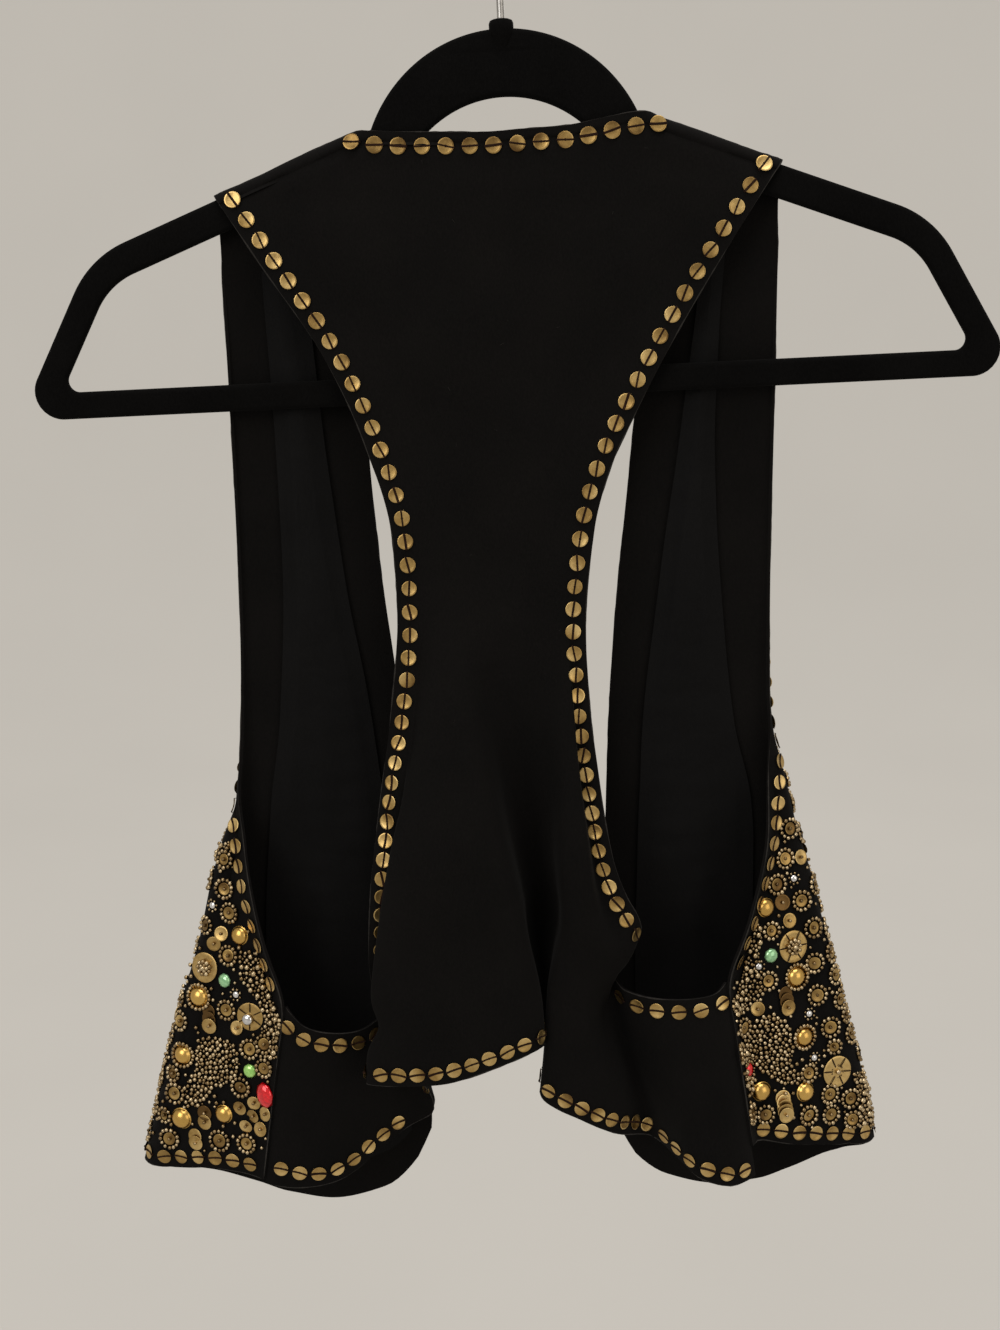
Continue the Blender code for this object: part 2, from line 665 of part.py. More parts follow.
def lining_point(inner, down, edge_rows, fall, share):
    """A point of the lining at a share down and across its own reach."""
    levels = []
    for j in range(inner.shape[1]):
        start, end = LINING_FROM_SHOULDER, down[-1, j] - LINING_FROM_HEM
        at = start + (end - start) * fall
        levels.append([np.interp(at, down[:, j], inner[:, j, k]) for k in range(3)])
    levels = np.array(levels)
    reach = np.concatenate(([0.0], np.cumsum(np.linalg.norm(np.diff(levels, axis=0), axis=1))))
    beyond = abs(levels[:, 0]) - abs(table_curve(edge_rows, 1, levels[:, 2]))
    crossing = int(np.argmax(beyond > 0))
    end = np.interp(0.0, beyond[crossing - 1:crossing + 1], reach[crossing - 1:crossing + 1])
    at = LINING_FROM_INNER_EDGE + (end - LINING_FROM_INNER_EDGE) * share
    return tuple(np.interp(at, reach, levels[:, k]) for k in range(3))


def arc(centre_x, centre_z, radius, end):
    """Half of an arch from beside its top to an angle, with no point on its middle line or its end."""
    angles = np.linspace(0.0, math.radians(end), 2 * HANGER_ARC_STEPS + 1)[1::2]
    return [(centre_x + radius * math.sin(a), centre_z + radius * math.cos(a)) for a in angles]


def rounded(corners):
    """An outline's points with each corner turned into an arc of its own radius."""
    points = []
    total = len(corners)
    for i, (x, z, radius) in enumerate(corners):
        here = Vector((x, z))
        before = (Vector(corners[i - 1][:2]) - here).normalized()
        after = (Vector(corners[(i + 1) % total][:2]) - here).normalized()
        if radius == 0.0:
            points.append(tuple(here))
            continue
        half = before.angle(after) / 2
        reach = radius / math.tan(half)
        middle = here + (before + after).normalized() * (radius / math.sin(half))
        start = here + before * reach - middle
        end = here + after * reach - middle
        for k in range(HANGER_CORNER_STEPS + 1):
            spoke = start.lerp(end, k / HANGER_CORNER_STEPS).normalized() * radius
            points.append(tuple(middle + spoke))
    return points


def mirrored(points):
    """A closed outline from its right half, listed from the top down."""
    return points + [(-x, z) for x, z in reversed(points)]


def offset_line(start, end, distance):
    """A line moved sideways to its right, as a point and a direction."""
    along = (Vector(end) - Vector(start)).normalized()
    return Vector(start) + Vector((along.y, -along.x)) * distance, along


def meeting(one, other):
    """Where two lines, each a point and a direction, cross."""
    (p, u), (q, v) = one, other
    t = ((q - p).x * v.y - (q - p).y * v.x) / (u.x * v.y - u.y * v.x)
    return p + u * t


def hanger_outlines():
    """The hanger's outer outline and the outline of its one large opening."""
    slope = math.tan(ARM_SLOPE)
    arm = (ARM_START, ARM_START_LEVEL)
    bend = (ARM_BEND, ARM_START_LEVEL - (ARM_BEND - ARM_START) * slope)
    corner = (END_CORNER, BAR_BOTTOM)
    foot = (0.0, BAR_BOTTOM)
    arch_end = math.degrees(math.acos((ARM_START_LEVEL - ARCH_OUTER_CENTRE) / ARCH_OUTER_RADIUS))
    arch = arc(0.0, ARCH_OUTER_CENTRE, ARCH_OUTER_RADIUS, arch_end)
    side = rounded(((*arm, 0.0), (*bend, ARM_BEND_ROUND), (*corner, END_ROUND), (*foot, 0.0)))
    outer = mirrored(arch + side[:-1])

    lower_arm = offset_line(arm, bend, ARM_WIDTH)
    inner_end = offset_line(bend, corner, END_WIDTH)
    bar = offset_line(corner, foot, BAR_TOP - BAR_BOTTOM)
    inner_bend, inner_corner = meeting(lower_arm, inner_end), meeting(inner_end, bar)
    reach = math.degrees(math.asin(INNER_ARCH_REACH / ARCH_INNER_RADIUS))
    inner_arch = arc(0.0, ARCH_INNER_CENTRE, ARCH_INNER_RADIUS, reach)
    inner_side = rounded(((*lower_arm[0], 0.0), (*inner_bend, ARM_BEND_ROUND - ARM_WIDTH),
                          (*inner_corner, INNER_END_ROUND), (0.0, BAR_TOP, 0.0)))
    inner = mirrored(inner_arch + inner_side[:-1])
    return outer, inner


def add_outline(curve, points):
    spline = curve.splines.new("POLY")
    spline.points.add(len(points) - 1)
    for point, (x, z) in zip(spline.points, points):
        point.co = (x, z, 0.0, 1.0)
    spline.use_cyclic_u = True


def build_hanger(holder):
    """The flat frame: arms, arch and trouser bar in one piece, with the boss for the hook."""
    flock = material("black flock", (0.012, 0.012, 0.013), 0.95)
    curve = bpy.data.curves.new("hanger outline", "CURVE")
    curve.dimensions = "2D"
    curve.fill_mode = "BOTH"
    curve.extrude = HANGER_THICKNESS / 2 - HANGER_EDGE_ROUND
    curve.bevel_depth = HANGER_EDGE_ROUND
    curve.bevel_resolution = 0
    curve.offset = -HANGER_EDGE_ROUND
    for points in hanger_outlines():
        add_outline(curve, points)
    drawn = add_object("hanger outline", curve, PARTS)
    drawn.location = (HANGER_OFFSET, 0.0, 0.0)
    drawn.rotation_euler = (math.radians(90), 0.0, 0.0)
    hanger = as_mesh_object(drawn, "hanger", flock)
    hanger.parent = holder

    boss_middle = BOSS_TOP - BOSS_DEPTH / 2
    boss = add_cylinder("boss", BOSS_RADIUS, BOSS_DEPTH, boss_middle, holder)
    bore = add_cylinder("bore", WIRE_RADIUS + BORE_CLEARANCE, 2 * BORE_DEPTH, BOSS_TOP, holder)
    join = hanger.modifiers.new("boss", "BOOLEAN")
    join.operation = "UNION"
    join.solver = "MANIFOLD"
    join.object = boss
    drill = hanger.modifiers.new("bore", "BOOLEAN")
    drill.operation = "DIFFERENCE"
    drill.solver = "MANIFOLD"
    drill.object = bore
    shade(hanger, 45.0)


def add_cylinder(name, radius, depth, level, holder):
    """An upright round cutter or boss on the hook's axis."""
    bm = bmesh.new()
    bmesh.ops.create_cone(bm, cap_ends=True, segments=20, radius1=radius, radius2=radius, depth=depth)
    mesh = bpy.data.meshes.new(name)
    bm.to_mesh(mesh)
    bm.free()
    made = add_object(name, mesh, CUTTERS)
    made.location = (HANGER_OFFSET, 0.0, level)
    made.parent = holder
    made.hide_render = True
    made.display_type = "WIRE"
    return made


def hook_route():
    """The hook's wire from its boss up, out to one side, over the top and down to its end."""
    centre = WIRE_RADIUS - CROOK_RADIUS
    foot = BOSS_TOP - BORE_DEPTH + 2 * BORE_CLEARANCE
    route = [(HANGER_OFFSET, foot), (HANGER_OFFSET, BOSS_TOP + SHANK_ABOVE_BOSS)]
    swing_start, swing_end = BOSS_TOP + SWING_ABOVE_BOSS, centre
    for t in np.linspace(0, 1, SWING_STEPS)[:-1]:
        ease = t * t * (3 - 2 * t)
        across = HANGER_OFFSET + (CROOK_RADIUS - HANGER_OFFSET) * ease
        route.append((across, swing_start + (swing_end - swing_start) * t))
    for turn in np.linspace(0, CROOK_SWEEP, CROOK_STEPS):
        route.append((CROOK_RADIUS * math.cos(turn), centre + CROOK_RADIUS * math.sin(turn)))
    return route


def build_hook(holder):
    steel = material("bright steel", (0.62, 0.62, 0.64), 0.25, 1.0)
    curve = bpy.data.curves.new("hook", "CURVE")
    curve.dimensions = "3D"
    curve.bevel_depth = WIRE_RADIUS
    curve.bevel_resolution = 2
    curve.use_fill_caps = True
    spline = curve.splines.new("POLY")
    route = hook_route()
    spline.points.add(len(route) - 1)
    for point, (x, z) in zip(spline.points, route):
        point.co = (x, 0.0, z, 1.0)
    hook = add_object("hook", curve, PARTS, steel)
    hook.parent = holder


def main():
    holder = bpy.data.objects.new("hanger tilt", None)
    PARTS.objects.link(holder)
    holder.rotation_euler = (0.0, -HANGER_TILT, 0.0)
    build_hanger(holder)
    build_hook(holder)
    build_back()
    cloth = material("front cloth", (0.011, 0.010, 0.010), 0.85)
    satin = material("lining", (0.016, 0.016, 0.018), 0.55)
    sides = (
        ("left", FRONT_LEFT_SECTIONS, LINING_LEFT_EDGE, -1.0, 1),
        ("right", FRONT_RIGHT_SECTIONS, LINING_RIGHT_EDGE, 1.0, 2),
    )
    for name, rows, lining_edge, side, hem_column in sides:
        grid, outward = build_front("front_" + name, rows, side, hem_column, cloth)
        build_lining("lining_" + name, grid, outward, lining_edge, satin)


main()
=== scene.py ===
"""Sequin vest on a flocked hanger: cloth, sewn-on trim, materials, light and camera.

Metres, +Z up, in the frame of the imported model. The back of the vest faces -Y.
"""
import math
import bmesh
import bpy
import numpy as np
from mathutils import Matrix, Vector
from mathutils.bvhtree import BVHTree


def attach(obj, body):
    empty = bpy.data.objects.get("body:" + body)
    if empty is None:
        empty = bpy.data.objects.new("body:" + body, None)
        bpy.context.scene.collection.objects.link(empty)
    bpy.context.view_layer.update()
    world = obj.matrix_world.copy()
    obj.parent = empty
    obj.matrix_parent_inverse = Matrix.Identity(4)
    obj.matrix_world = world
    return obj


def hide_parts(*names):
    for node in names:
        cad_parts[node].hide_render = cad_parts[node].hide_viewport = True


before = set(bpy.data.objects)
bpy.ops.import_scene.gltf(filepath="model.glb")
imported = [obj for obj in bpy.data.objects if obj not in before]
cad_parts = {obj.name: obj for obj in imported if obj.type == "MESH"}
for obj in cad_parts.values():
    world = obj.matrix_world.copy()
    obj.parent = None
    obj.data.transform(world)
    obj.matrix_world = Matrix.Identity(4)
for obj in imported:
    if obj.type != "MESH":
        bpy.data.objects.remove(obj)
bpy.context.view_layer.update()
BODY = "root"
random = np.random.default_rng(seed=11)

# Cloth: walls a little thinner than the part's, and how it rolls over the hanger's arms
BACK_WALL, FRONT_WALL, LINING_WALL = 0.0015, 0.0016, 0.0009
SIDE_SEAM_SETBACK, SHOULDER_SEAM_SETBACK = 0.0004, 0.0005
HANGER_THICKNESS = 0.005
ROLL_RADIUS = HANGER_THICKNESS / 2 + 0.0018
ROLL_LIFT, ROLL_EASE, ROLL_BLEND, NECK_ROLL_OFF = 0.0016, 0.4, 0.0018, 0.006
ROLL_STEPS = (0.0, 0.06, 0.15, 0.3, 0.5, 0.75, 1.0)

# Hanger and hook, with the part's own sizes
HANGER_TILT = math.radians(2.7)
HANGER_OFFSET = -0.0025
HANGER_EDGE_ROUND = 0.0021
ARM_SLOPE = math.radians(20.6)
ARM_WIDTH = 0.014
ARM_START, ARM_START_LEVEL = 0.063, -0.1045
ARM_BEND, ARM_BEND_ROUND = 0.19, 0.048
BAR_TOP, BAR_BOTTOM = -0.2113, -0.2234
ARCH_OUTER_RADIUS, ARCH_OUTER_CENTRE = 0.065, -0.129
ARCH_INNER_RADIUS, ARCH_INNER_CENTRE, INNER_ARCH_REACH = 0.052, -0.1444, 0.04
END_CORNER, END_ROUND, END_WIDTH, INNER_END_ROUND = 0.23, 0.0125, 0.0125, 0.005
WIRE_RADIUS = 0.0016
CROOK_RADIUS, CROOK_SWEEP = 0.0186, math.radians(205.0)
BOSS_RADIUS, BOSS_TOP, BOSS_DEPTH, BOSS_ROUND = 0.0054, -0.0604, 0.011, 0.0016
BORE_DEPTH, BORE_CLEARANCE, BORE_OVERLAP = 0.012, 0.0003, 0.001
SHANK_ABOVE_BOSS, SWING_ABOVE_BOSS = 0.004, 0.01
HANGER_ARC_STEPS, HANGER_CORNER_STEPS, SWING_STEPS, CROOK_STEPS, BOSS_SIDES = 32, 14, 24, 48, 40
FLAT_SHARP, WIRE_SHARP, CLOTH_SHARP, TRIM_SHARP = (math.radians(angle) for angle in (40, 50, 55, 50))

# Grids of the fine cloth, and how many rows in from an edge the row beside it is taken
BACK_ROWS_UPPER, BACK_ROWS_LOWER, BACK_COLUMNS, STRIP_COLUMNS = 60, 96, 110, 28
FRONT_ROWS, FRONT_COLUMNS = 140, 76
LINING_ROWS, LINING_COLUMNS = 110, 44
CURVE_SAMPLES, RUN_SAMPLES, TURN_SAMPLES, CREASE_SAMPLES = 900, 120, 80, 28
BEND_WEIGHT = 0.012
CLOTH_WELD, MESH_WELD = 0.00002, 1e-6
NEXT_ROW = 4

# How the lower back falls from the waist to its folds
WAIST_LEVEL = -0.325
STRAIGHT_FALL = 0.35
DEPTH_POWER = 1.6

# Stage
FLOOR_LEVEL, WALL_RADIUS, WALL_ROUND, WALL_TOP = -1.05, 3.4, 1.2, 3.0
STAGE_SIDES, STAGE_STEPS = 96, 17

# Cut edge of the back from each shoulder end to the hem, along its armholes and then its tucks
BACK_LEFT_EDGE = (
    # level, across, depth
    (-0.138, -0.1275, -0.0046), (-0.145, -0.1225, -0.0054), (-0.166, -0.108, -0.0066),
    (-0.209, -0.0785, -0.0076), (-0.245, -0.062, -0.008), (-0.288, -0.0497, -0.0095),
    (-0.325, -0.0478, -0.011), (-0.365, -0.0508, -0.013), (-0.42, -0.0577, -0.019),
    (-0.456, -0.0617, -0.025), (-0.49, -0.0632, -0.025), (-0.51, -0.0622, -0.018), (-0.525, -0.0595, -0.01),
    (-0.583, -0.0345, 0.004),
)
BACK_RIGHT_EDGE = (
    # level, across, depth
    (-0.123, 0.1255, -0.0046), (-0.13, 0.1205, -0.0054), (-0.18, 0.0894, -0.0066),
    (-0.2105, 0.0722, -0.0075), (-0.235, 0.06, -0.008), (-0.2555, 0.0508, -0.0085),
    (-0.282, 0.0438, -0.0095), (-0.325, 0.04, -0.011), (-0.36, 0.0419, -0.013), (-0.401, 0.047, -0.017),
    (-0.437, 0.0535, -0.023), (-0.456, 0.06, -0.0262), (-0.468, 0.066, -0.027), (-0.476, 0.0676, -0.024),
    (-0.488, 0.062, -0.0165), (-0.504, 0.0558, -0.011), (-0.587, 0.077, -0.014),
)
LEFT_TUCK_TOP, RIGHT_TUCK_TOP = -0.525, -0.504

# Free edge of the back neck between the two shoulders
NECK_EDGE = (
    # across, level
    (-0.066, -0.1085), (-0.061, -0.1072), (-0.041, -0.1076), (-0.011, -0.1077), (0.011, -0.1064),
    (0.03, -0.1048), (0.046, -0.1016), (0.063, -0.099), (0.069, -0.1006),
)

# Folds of the flared lower back, each running from the waist down to the hem
BACK_FOLDS = (
    # share of the waist, across, depth and level at the hem, where its fall begins and ends, for the left
    # turn, return, ridge, lobe and lip, the valley's left side, floor and right side, and the right lip,
    # lobe and ridge
    (0.11, -0.0375, -0.007, -0.5635, 0.25, 0.92), (0.125, -0.05, -0.021, -0.553, 0.25, 0.92),
    (0.14, -0.063, -0.036, -0.547, 0.25, 0.92), (0.21, -0.026, -0.044, -0.543, 0.0, 1.0),
    (0.33, 0.0195, -0.034, -0.529, 0.0, 1.0), (0.48, 0.018, -0.009, -0.536, 0.0, 1.0),
    (0.62, 0.0215, 0.002, -0.543, 0.0, 1.0), (0.75, 0.025, -0.009, -0.549, 0.0, 1.0),
    (0.875, 0.0212, -0.03, -0.557, 0.0, 1.0), (0.905, 0.04, -0.0345, -0.567, 0.0, 1.0),
    (0.93, 0.057, -0.028, -0.5775, 0.66, 1.0),
)

# Plain sides of the back under the armholes, from each side seam inwards to the tuck
LEFT_STRIP = (
    # from the seam inwards: across, depth and level at the armhole and at the hem
    (-0.1036, -0.0265, -0.512, -0.117, -0.024, -0.607),
    (-0.0945, -0.0255, -0.5225, -0.0985, -0.025, -0.6085), (-0.082, -0.021, -0.528, -0.078, -0.02, -0.606),
    (-0.069, -0.0145, -0.5295, -0.048, -0.0055, -0.587),
)
RIGHT_STRIP = (
    # from the seam inwards: across, depth and level at the armhole and at the hem
    (0.1085, -0.0285, -0.4985, 0.1255, -0.032, -0.5985), (0.102, -0.03, -0.504, 0.112, -0.0385, -0.5995),
    (0.076, -0.0265, -0.5075, 0.0985, -0.037, -0.5965), (0.061, -0.0185, -0.5065, 0.088, -0.0255, -0.592),
)

# Each front from the shoulder down: its inner edge, its rounded outer fold and its outer edge
FRONT_LEFT_SECTIONS = (
    # level, inner edge, outer fold, outer edge, outer edge depth, fold radius, depth of the front
    (-0.137, -0.066, -0.1278, -0.1278, 0.0046, 0.0, 0.0046),
    (-0.165, -0.0665, -0.1268, -0.1268, 0.0058, 0.0004, 0.0064),
    (-0.2245, -0.0645, -0.125, -0.125, 0.006, 0.0022, 0.0084),
    (-0.319, -0.0575, -0.1238, -0.1238, 0.0062, 0.0034, 0.01),
    (-0.368, -0.051, -0.1248, -0.1248, 0.006, 0.0044, 0.0115),
    (-0.408, -0.0475, -0.1275, -0.125, 0.002, 0.006, 0.013),
    (-0.435, -0.045, -0.1345, -0.1238, -0.006, 0.008, 0.0145),
    (-0.462, -0.043, -0.1425, -0.1192, -0.015, 0.0095, 0.0155),
    (-0.49, -0.041, -0.15, -0.1115, -0.0225, 0.011, 0.017),
    (-0.512, -0.0395, -0.157, -0.1036, -0.0265, 0.012, 0.0185),
    (-0.534, -0.038, -0.163, -0.1067, -0.0259, 0.013, 0.0195),
    (-0.567, -0.0365, -0.173, -0.1115, -0.025, 0.014, 0.0215),
    (-0.607, -0.036, -0.183, -0.117, -0.024, 0.0145, 0.024),
)
FRONT_RIGHT_SECTIONS = (
    # level, inner edge, outer fold, outer edge, outer edge depth, fold radius, depth of the front
    (-0.122, 0.069, 0.1255, 0.1255, 0.0046, 0.0, 0.0046),
    (-0.15, 0.069, 0.1258, 0.1258, 0.0058, 0.0004, 0.0064),
    (-0.2245, 0.0645, 0.1268, 0.1268, 0.006, 0.0022, 0.0084),
    (-0.319, 0.0565, 0.1282, 0.1282, 0.0062, 0.0034, 0.01),
    (-0.368, 0.0535, 0.13, 0.128, 0.006, 0.0044, 0.0115),
    (-0.4, 0.0528, 0.1365, 0.1292, 0.0005, 0.006, 0.013),
    (-0.43, 0.0525, 0.1442, 0.1292, -0.008, 0.008, 0.0145),
    (-0.456, 0.0525, 0.1526, 0.1236, -0.0175, 0.0095, 0.0155),
    (-0.48, 0.0528, 0.159, 0.116, -0.0255, 0.011, 0.017),
    (-0.4985, 0.0535, 0.1655, 0.1085, -0.0285, 0.012, 0.0185),
    (-0.524, 0.0545, 0.172, 0.1128, -0.0294, 0.013, 0.0195),
    (-0.56, 0.057, 0.184, 0.119, -0.0307, 0.014, 0.0215),
    (-0.5985, 0.065, 0.193, 0.1255, -0.032, 0.0145, 0.024),
)
FRONT_HEM = (
    # share from the inner edge to the side seam, level on the left, level on the right
    (0.0, -0.603, -0.606), (0.03, -0.6215, -0.619), (0.09, -0.637, -0.63), (0.2, -0.645, -0.6365),
    (0.28, -0.642, -0.6345), (0.34, -0.635, -0.628), (0.42, -0.627, -0.617), (0.53, -0.621, -0.6085),
    (0.64, -0.611, -0.5985), (0.82, -0.6085, -0.5985), (1.0, -0.607, -0.5985),
)

# How much shorter each front's hem is cut where it turns to the back
FRONT_HEM_CUT = (
    # share from the inner edge to the side seam, height on the left, height on the right
    (0.0, 0.0, 0.0), (0.58, 0.0, 0.001), (0.68, 0.0, 0.0015), (0.8, 0.0, 0.004), (0.84, 0.001, 0.0065),
    (0.9, 0.0035, 0.01), (0.95, 0.0035, 0.013), (1.0, 0.0022, 0.016),
)
HEM_CUT_POWER = 8

# Soft upright waves of the fronts: share across, width, and height at the hem
FRONT_WAVES = ((0.28, 0.1, 0.003), (0.52, 0.09, -0.003))

# Lining inside each front, set in from its edges
LINING_CLEARANCE = 0.0009
LINING_FROM_SHOULDER, LINING_FROM_HEM, LINING_FROM_INNER_EDGE = 0.045, 0.022, 0.024

# Edge of each lining beside the armhole, which leaves a facing band of the front's own cloth
# Lower down, the band is kept as wide as the shade inside the armhole, so its darker cloth there is painted
# shade.
LINING_LEFT_EDGE = (
    # level, across
    (-0.14, -0.109), (-0.166, -0.1085), (-0.23, -0.1054), (-0.308, -0.1033), (-0.378, -0.1071),
    (-0.418, -0.1125), (-0.477, -0.1178), (-0.62, -0.123),
)
LINING_RIGHT_EDGE = (
    # level, across
    (-0.13, 0.1035), (-0.156, 0.1023), (-0.189, 0.1005), (-0.234, 0.0999), (-0.272, 0.1016),
    (-0.327, 0.1068), (-0.379, 0.114), (-0.418, 0.1238), (-0.441, 0.1261), (-0.62, 0.131),
)

# Soft creases of the back, beyond its large folds
BACK_CREASES = (
    # start, bow and end as across and level, width, height outwards
    ((-0.098, -0.152), (-0.064, -0.186), (-0.028, -0.245), 0.011, -0.001),
    ((0.096, -0.14), (0.06, -0.182), (0.026, -0.24), 0.012, -0.001),
    ((0.004, -0.19), (-0.004, -0.25), (0.002, -0.33), 0.024, -0.0012),
    ((-0.006, -0.345), (0.007, -0.4), (0.016, -0.458), 0.008, -0.0024),
    ((-0.024, -0.335), (-0.008, -0.392), (0.004, -0.458), 0.009, 0.0024),
    ((0.033, -0.335), (0.036, -0.385), (0.046, -0.455), 0.005, -0.0011),
    ((-0.024, -0.44), (-0.022, -0.48), (-0.015, -0.534), 0.009, -0.0015),
    ((-0.045, -0.415), (-0.048, -0.465), (-0.046, -0.538), 0.008, 0.0012),
    ((0.04, -0.47), (0.042, -0.51), (0.04, -0.56), 0.006, -0.001),
)
STRIP_CREASES = (
    # start, bow and end as across and level, width, height outwards
    ((-0.104, -0.546), (-0.092, -0.552), (-0.076, -0.548), 0.005, -0.0009),
    ((-0.11, -0.577), (-0.098, -0.584), (-0.082, -0.578), 0.006, -0.001),
    ((0.072, -0.536), (0.09, -0.544), (0.112, -0.538), 0.006, -0.0009),
    ((0.082, -0.566), (0.098, -0.576), (0.116, -0.57), 0.007, -0.0011),
)
FRONT_CREASES = (
    # start, bow and end as shares across and down, width, height outwards
    ((0.3, 0.06), (0.36, 0.3), (0.28, 0.58), 0.01, -0.0016),
    ((0.52, 0.1), (0.6, 0.34), (0.5, 0.62), 0.011, 0.0014),
    ((0.2, 0.62), (0.26, 0.8), (0.22, 0.97), 0.012, -0.0016),
    ((0.42, 0.66), (0.44, 0.84), (0.4, 0.98), 0.012, 0.0016),
    ((0.86, 0.36), (0.78, 0.46), (0.66, 0.62), 0.008, -0.001),
)
LINING_FOLDS = (
    # start, bow and end as shares across and down, width, height inwards
    ((0.62, 0.0), (0.62, 0.18), (0.64, 0.42), 0.0075, 0.0022),
    ((0.64, 0.24), (0.58, 0.46), (0.46, 0.86), 0.011, 0.0034),
    ((0.24, 0.1), (0.3, 0.36), (0.24, 0.8), 0.009, 0.0022),
    ((0.9, 0.2), (0.86, 0.42), (0.82, 0.66), 0.006, 0.0014),
)
BORDER_FADE = 0.008
CREASE_POWER = 0.7

# A slight waviness that no hanging cloth is without
UNEVEN_HEIGHT = 0.00022
UNEVEN_WAVES = (
    # share of the height, radians for each metre across, back and up, start
    (1.0, (70, 0, 46), 0.0), (1.0, (-40, 60, 95), 1.3), (0.6, (170, 0, 30), 2.1),
)

# Edge trim: a row of flat discs, each held by a stitch along the edge
SEQUIN_RADIUS = 0.00365
SEQUIN_INSET, HIDDEN_INSET, LEFT_SEAM_INSET, SEAM_INSET_REACH = 0.006, 0.0105, 0.011, 0.03
NECK_PITCH, STRIP_PITCH, STRIP_HEM_PITCH, HEM_PITCH, FRONT_PITCH = 0.0109, 0.0104, 0.009, 0.0088, 0.0099
ARMHOLE_PITCH = (0.0107, 0.0108, 0.0111, 0.0094, 0.0087)
STRIP_GAP, FRONT_GAP, NECK_BEYOND = 0.005, 0.006, (0.002, 0.005)
PITCH_SAMPLES, HEADING_REACH = 400, 0.0017
TRIM_LIFT = 0.0001
# The last of these sets how steeply tone slopes across each edge disc, in a random direction: painted shade,
# each disc lighter on one side than the other.
EDGE_LEAN, EDGE_SEAT, EDGE_SIZES, EDGE_PAINTED_SHADE = 2.5, 0.04, (0.96, 1.03), 0.22
# The neck row's tones are lower than the other edges' so that its discs show darker: painted shade.
EDGE_TONES, NECK_PAINTED_SHADE_TONES, ARMHOLE_TONES = (0.25, 0.8), (0.02, 0.35), (0.5, 1.0)
STITCH_TURN, STITCH_WIDTHS, THREAD_TONES = 0.12, (0.8, 1.3), (0.2, 0.8)

# How far each front falls back beside its outer border, by level
LEFT_HOLLOW = (
    # level, depth
    (-0.607, 0.001), (-0.54, 0.0015), (-0.512, 0.0035), (-0.496, 0.005), (-0.48, 0.0042), (-0.462, 0.0012),
    (-0.445, 0.0),
)
RIGHT_HOLLOW = (
    # level, depth
    (-0.599, 0.0065), (-0.53, 0.0065), (-0.4985, 0.006), (-0.482, 0.006), (-0.455, 0.005), (-0.432, 0.0015),
    (-0.415, 0.0),
)
HOLLOW_WIDTH = 0.007

# How far the side borders of the back turn away from the camera, by level
LEFT_ROLL = (
    # level, depth
    (-0.515, 0.0), (-0.5, 0.003), (-0.46, 0.0055), (-0.41, 0.0055), (-0.375, 0.0028), (-0.345, 0.0),
)
RIGHT_ROLL = (
    # level, depth
    (-0.51, 0.0), (-0.495, 0.0045), (-0.478, 0.007), (-0.465, 0.0035), (-0.445, 0.0),
)
STRIP_ROLL = ((-0.65, 0.0016), (-0.4, 0.0016))
BACK_ROLL_WIDTH, STRIP_ROLL_WIDTH = 0.012, 0.005

# Where the left lobe's ridge is pushed in above its hem
RIDGE_DENT, RIDGE_DENT_REACH, RIDGE_DENT_DEPTH = (-0.064, -0.518), (0.02, 0.0095), 0.0056

# Fibres along the cut edges, of uneven thickness, and lint, kept some rows and columns off the borders
FRAY_RADIUS, FRAY_SIDES, FRAY_SEAT, FRAY_TIP = 0.00034, 5, 0.42, 0.00002
FRAY_SIZES, FRAY_WAVE, FRAY_STARTS, FRAY_LIMITS = (0.5, 1.2), (0.75, 0.55, 0.31), (0, 6), (0.1, 1)
LINT_COUNT, LINT_LENGTH, LINT_SIZES, LINT_SHIFT = 30, 0.0009, (0.3, 1.1), 0.002
LINT_FROM_TOP, LINT_FROM_HEM, LINT_FROM_EDGE = 8, 30, 12
PLAIN_TONE = 0.5

# View of the photo: focal length and middle in pixels of the 1000 by 1330 frame
FOCAL_PIXELS, FRAME_MIDDLE, FRAME_HEIGHT = 1500.0, (500.0, 665.0), 1330.0
CAMERA_PLACE = Vector((0.0, -0.7, -0.2))
CAMERA_PITCH = math.radians(12.0)
SENSOR = 36.0

# Main ornaments of the parts of the fronts that show beside the back
LEFT_ORNAMENTS = (
    # kind, across and down in the frame, width in mm
    ("rosette", 226, 859, 9.5), ("rosette", 226, 888, 10.6), ("crystal", 214, 905, 3.8),
    ("rosette", 231, 912, 10.6), ("rosette", 208, 925, 9.5), ("sequin", 223, 933, 7.4),
    ("sequin", 215, 943, 7.4), ("dome", 241, 935, 9), ("rosette", 230, 955, 10.6),
    ("big disc", 206, 967, 15), ("green", 226, 980, 7.4), ("ringed dome", 200, 996, 14.5),
    ("crystal", 237, 994, 3.8), ("rosette", 228, 1009, 10.6), ("crystal disc", 251, 1016, 14),
    ("dark stack", 211, 1018, 8), ("sequin", 238, 1027, 7), ("rosette", 251, 1048, 10.6),
    ("rosette", 266, 1043, 10.1), ("rosette", 280, 1048, 9.5), ("ringed dome", 184, 1054, 14),
    ("lime", 251, 1070, 7.4), ("rosette", 266, 1067, 10.1), ("rosette", 278, 1069, 9.5),
    ("rosette", 242, 1086, 10.6), ("rosette", 176, 1092, 11.1), ("red", 267, 1094, 10),
    ("dome", 183, 1117, 10.5), ("dark sequin", 206, 1112, 8), ("sequin", 206, 1121, 7.8),
    ("dome", 225, 1113, 9), ("sequin", 241, 1107, 7.2), ("sequin", 255, 1102, 7), ("sequin", 254, 1115, 7),
    ("sequin", 267, 1113, 7.2), ("sequin", 247, 1125, 7), ("sequin", 262, 1128, 7.4),
    ("rosette", 159, 1105, 9.5), ("rosette", 171, 1137, 11.1), ("double", 197, 1138, 7.8),
    ("rosette", 221, 1139, 11.7), ("rosette", 248, 1142, 10.6),
)
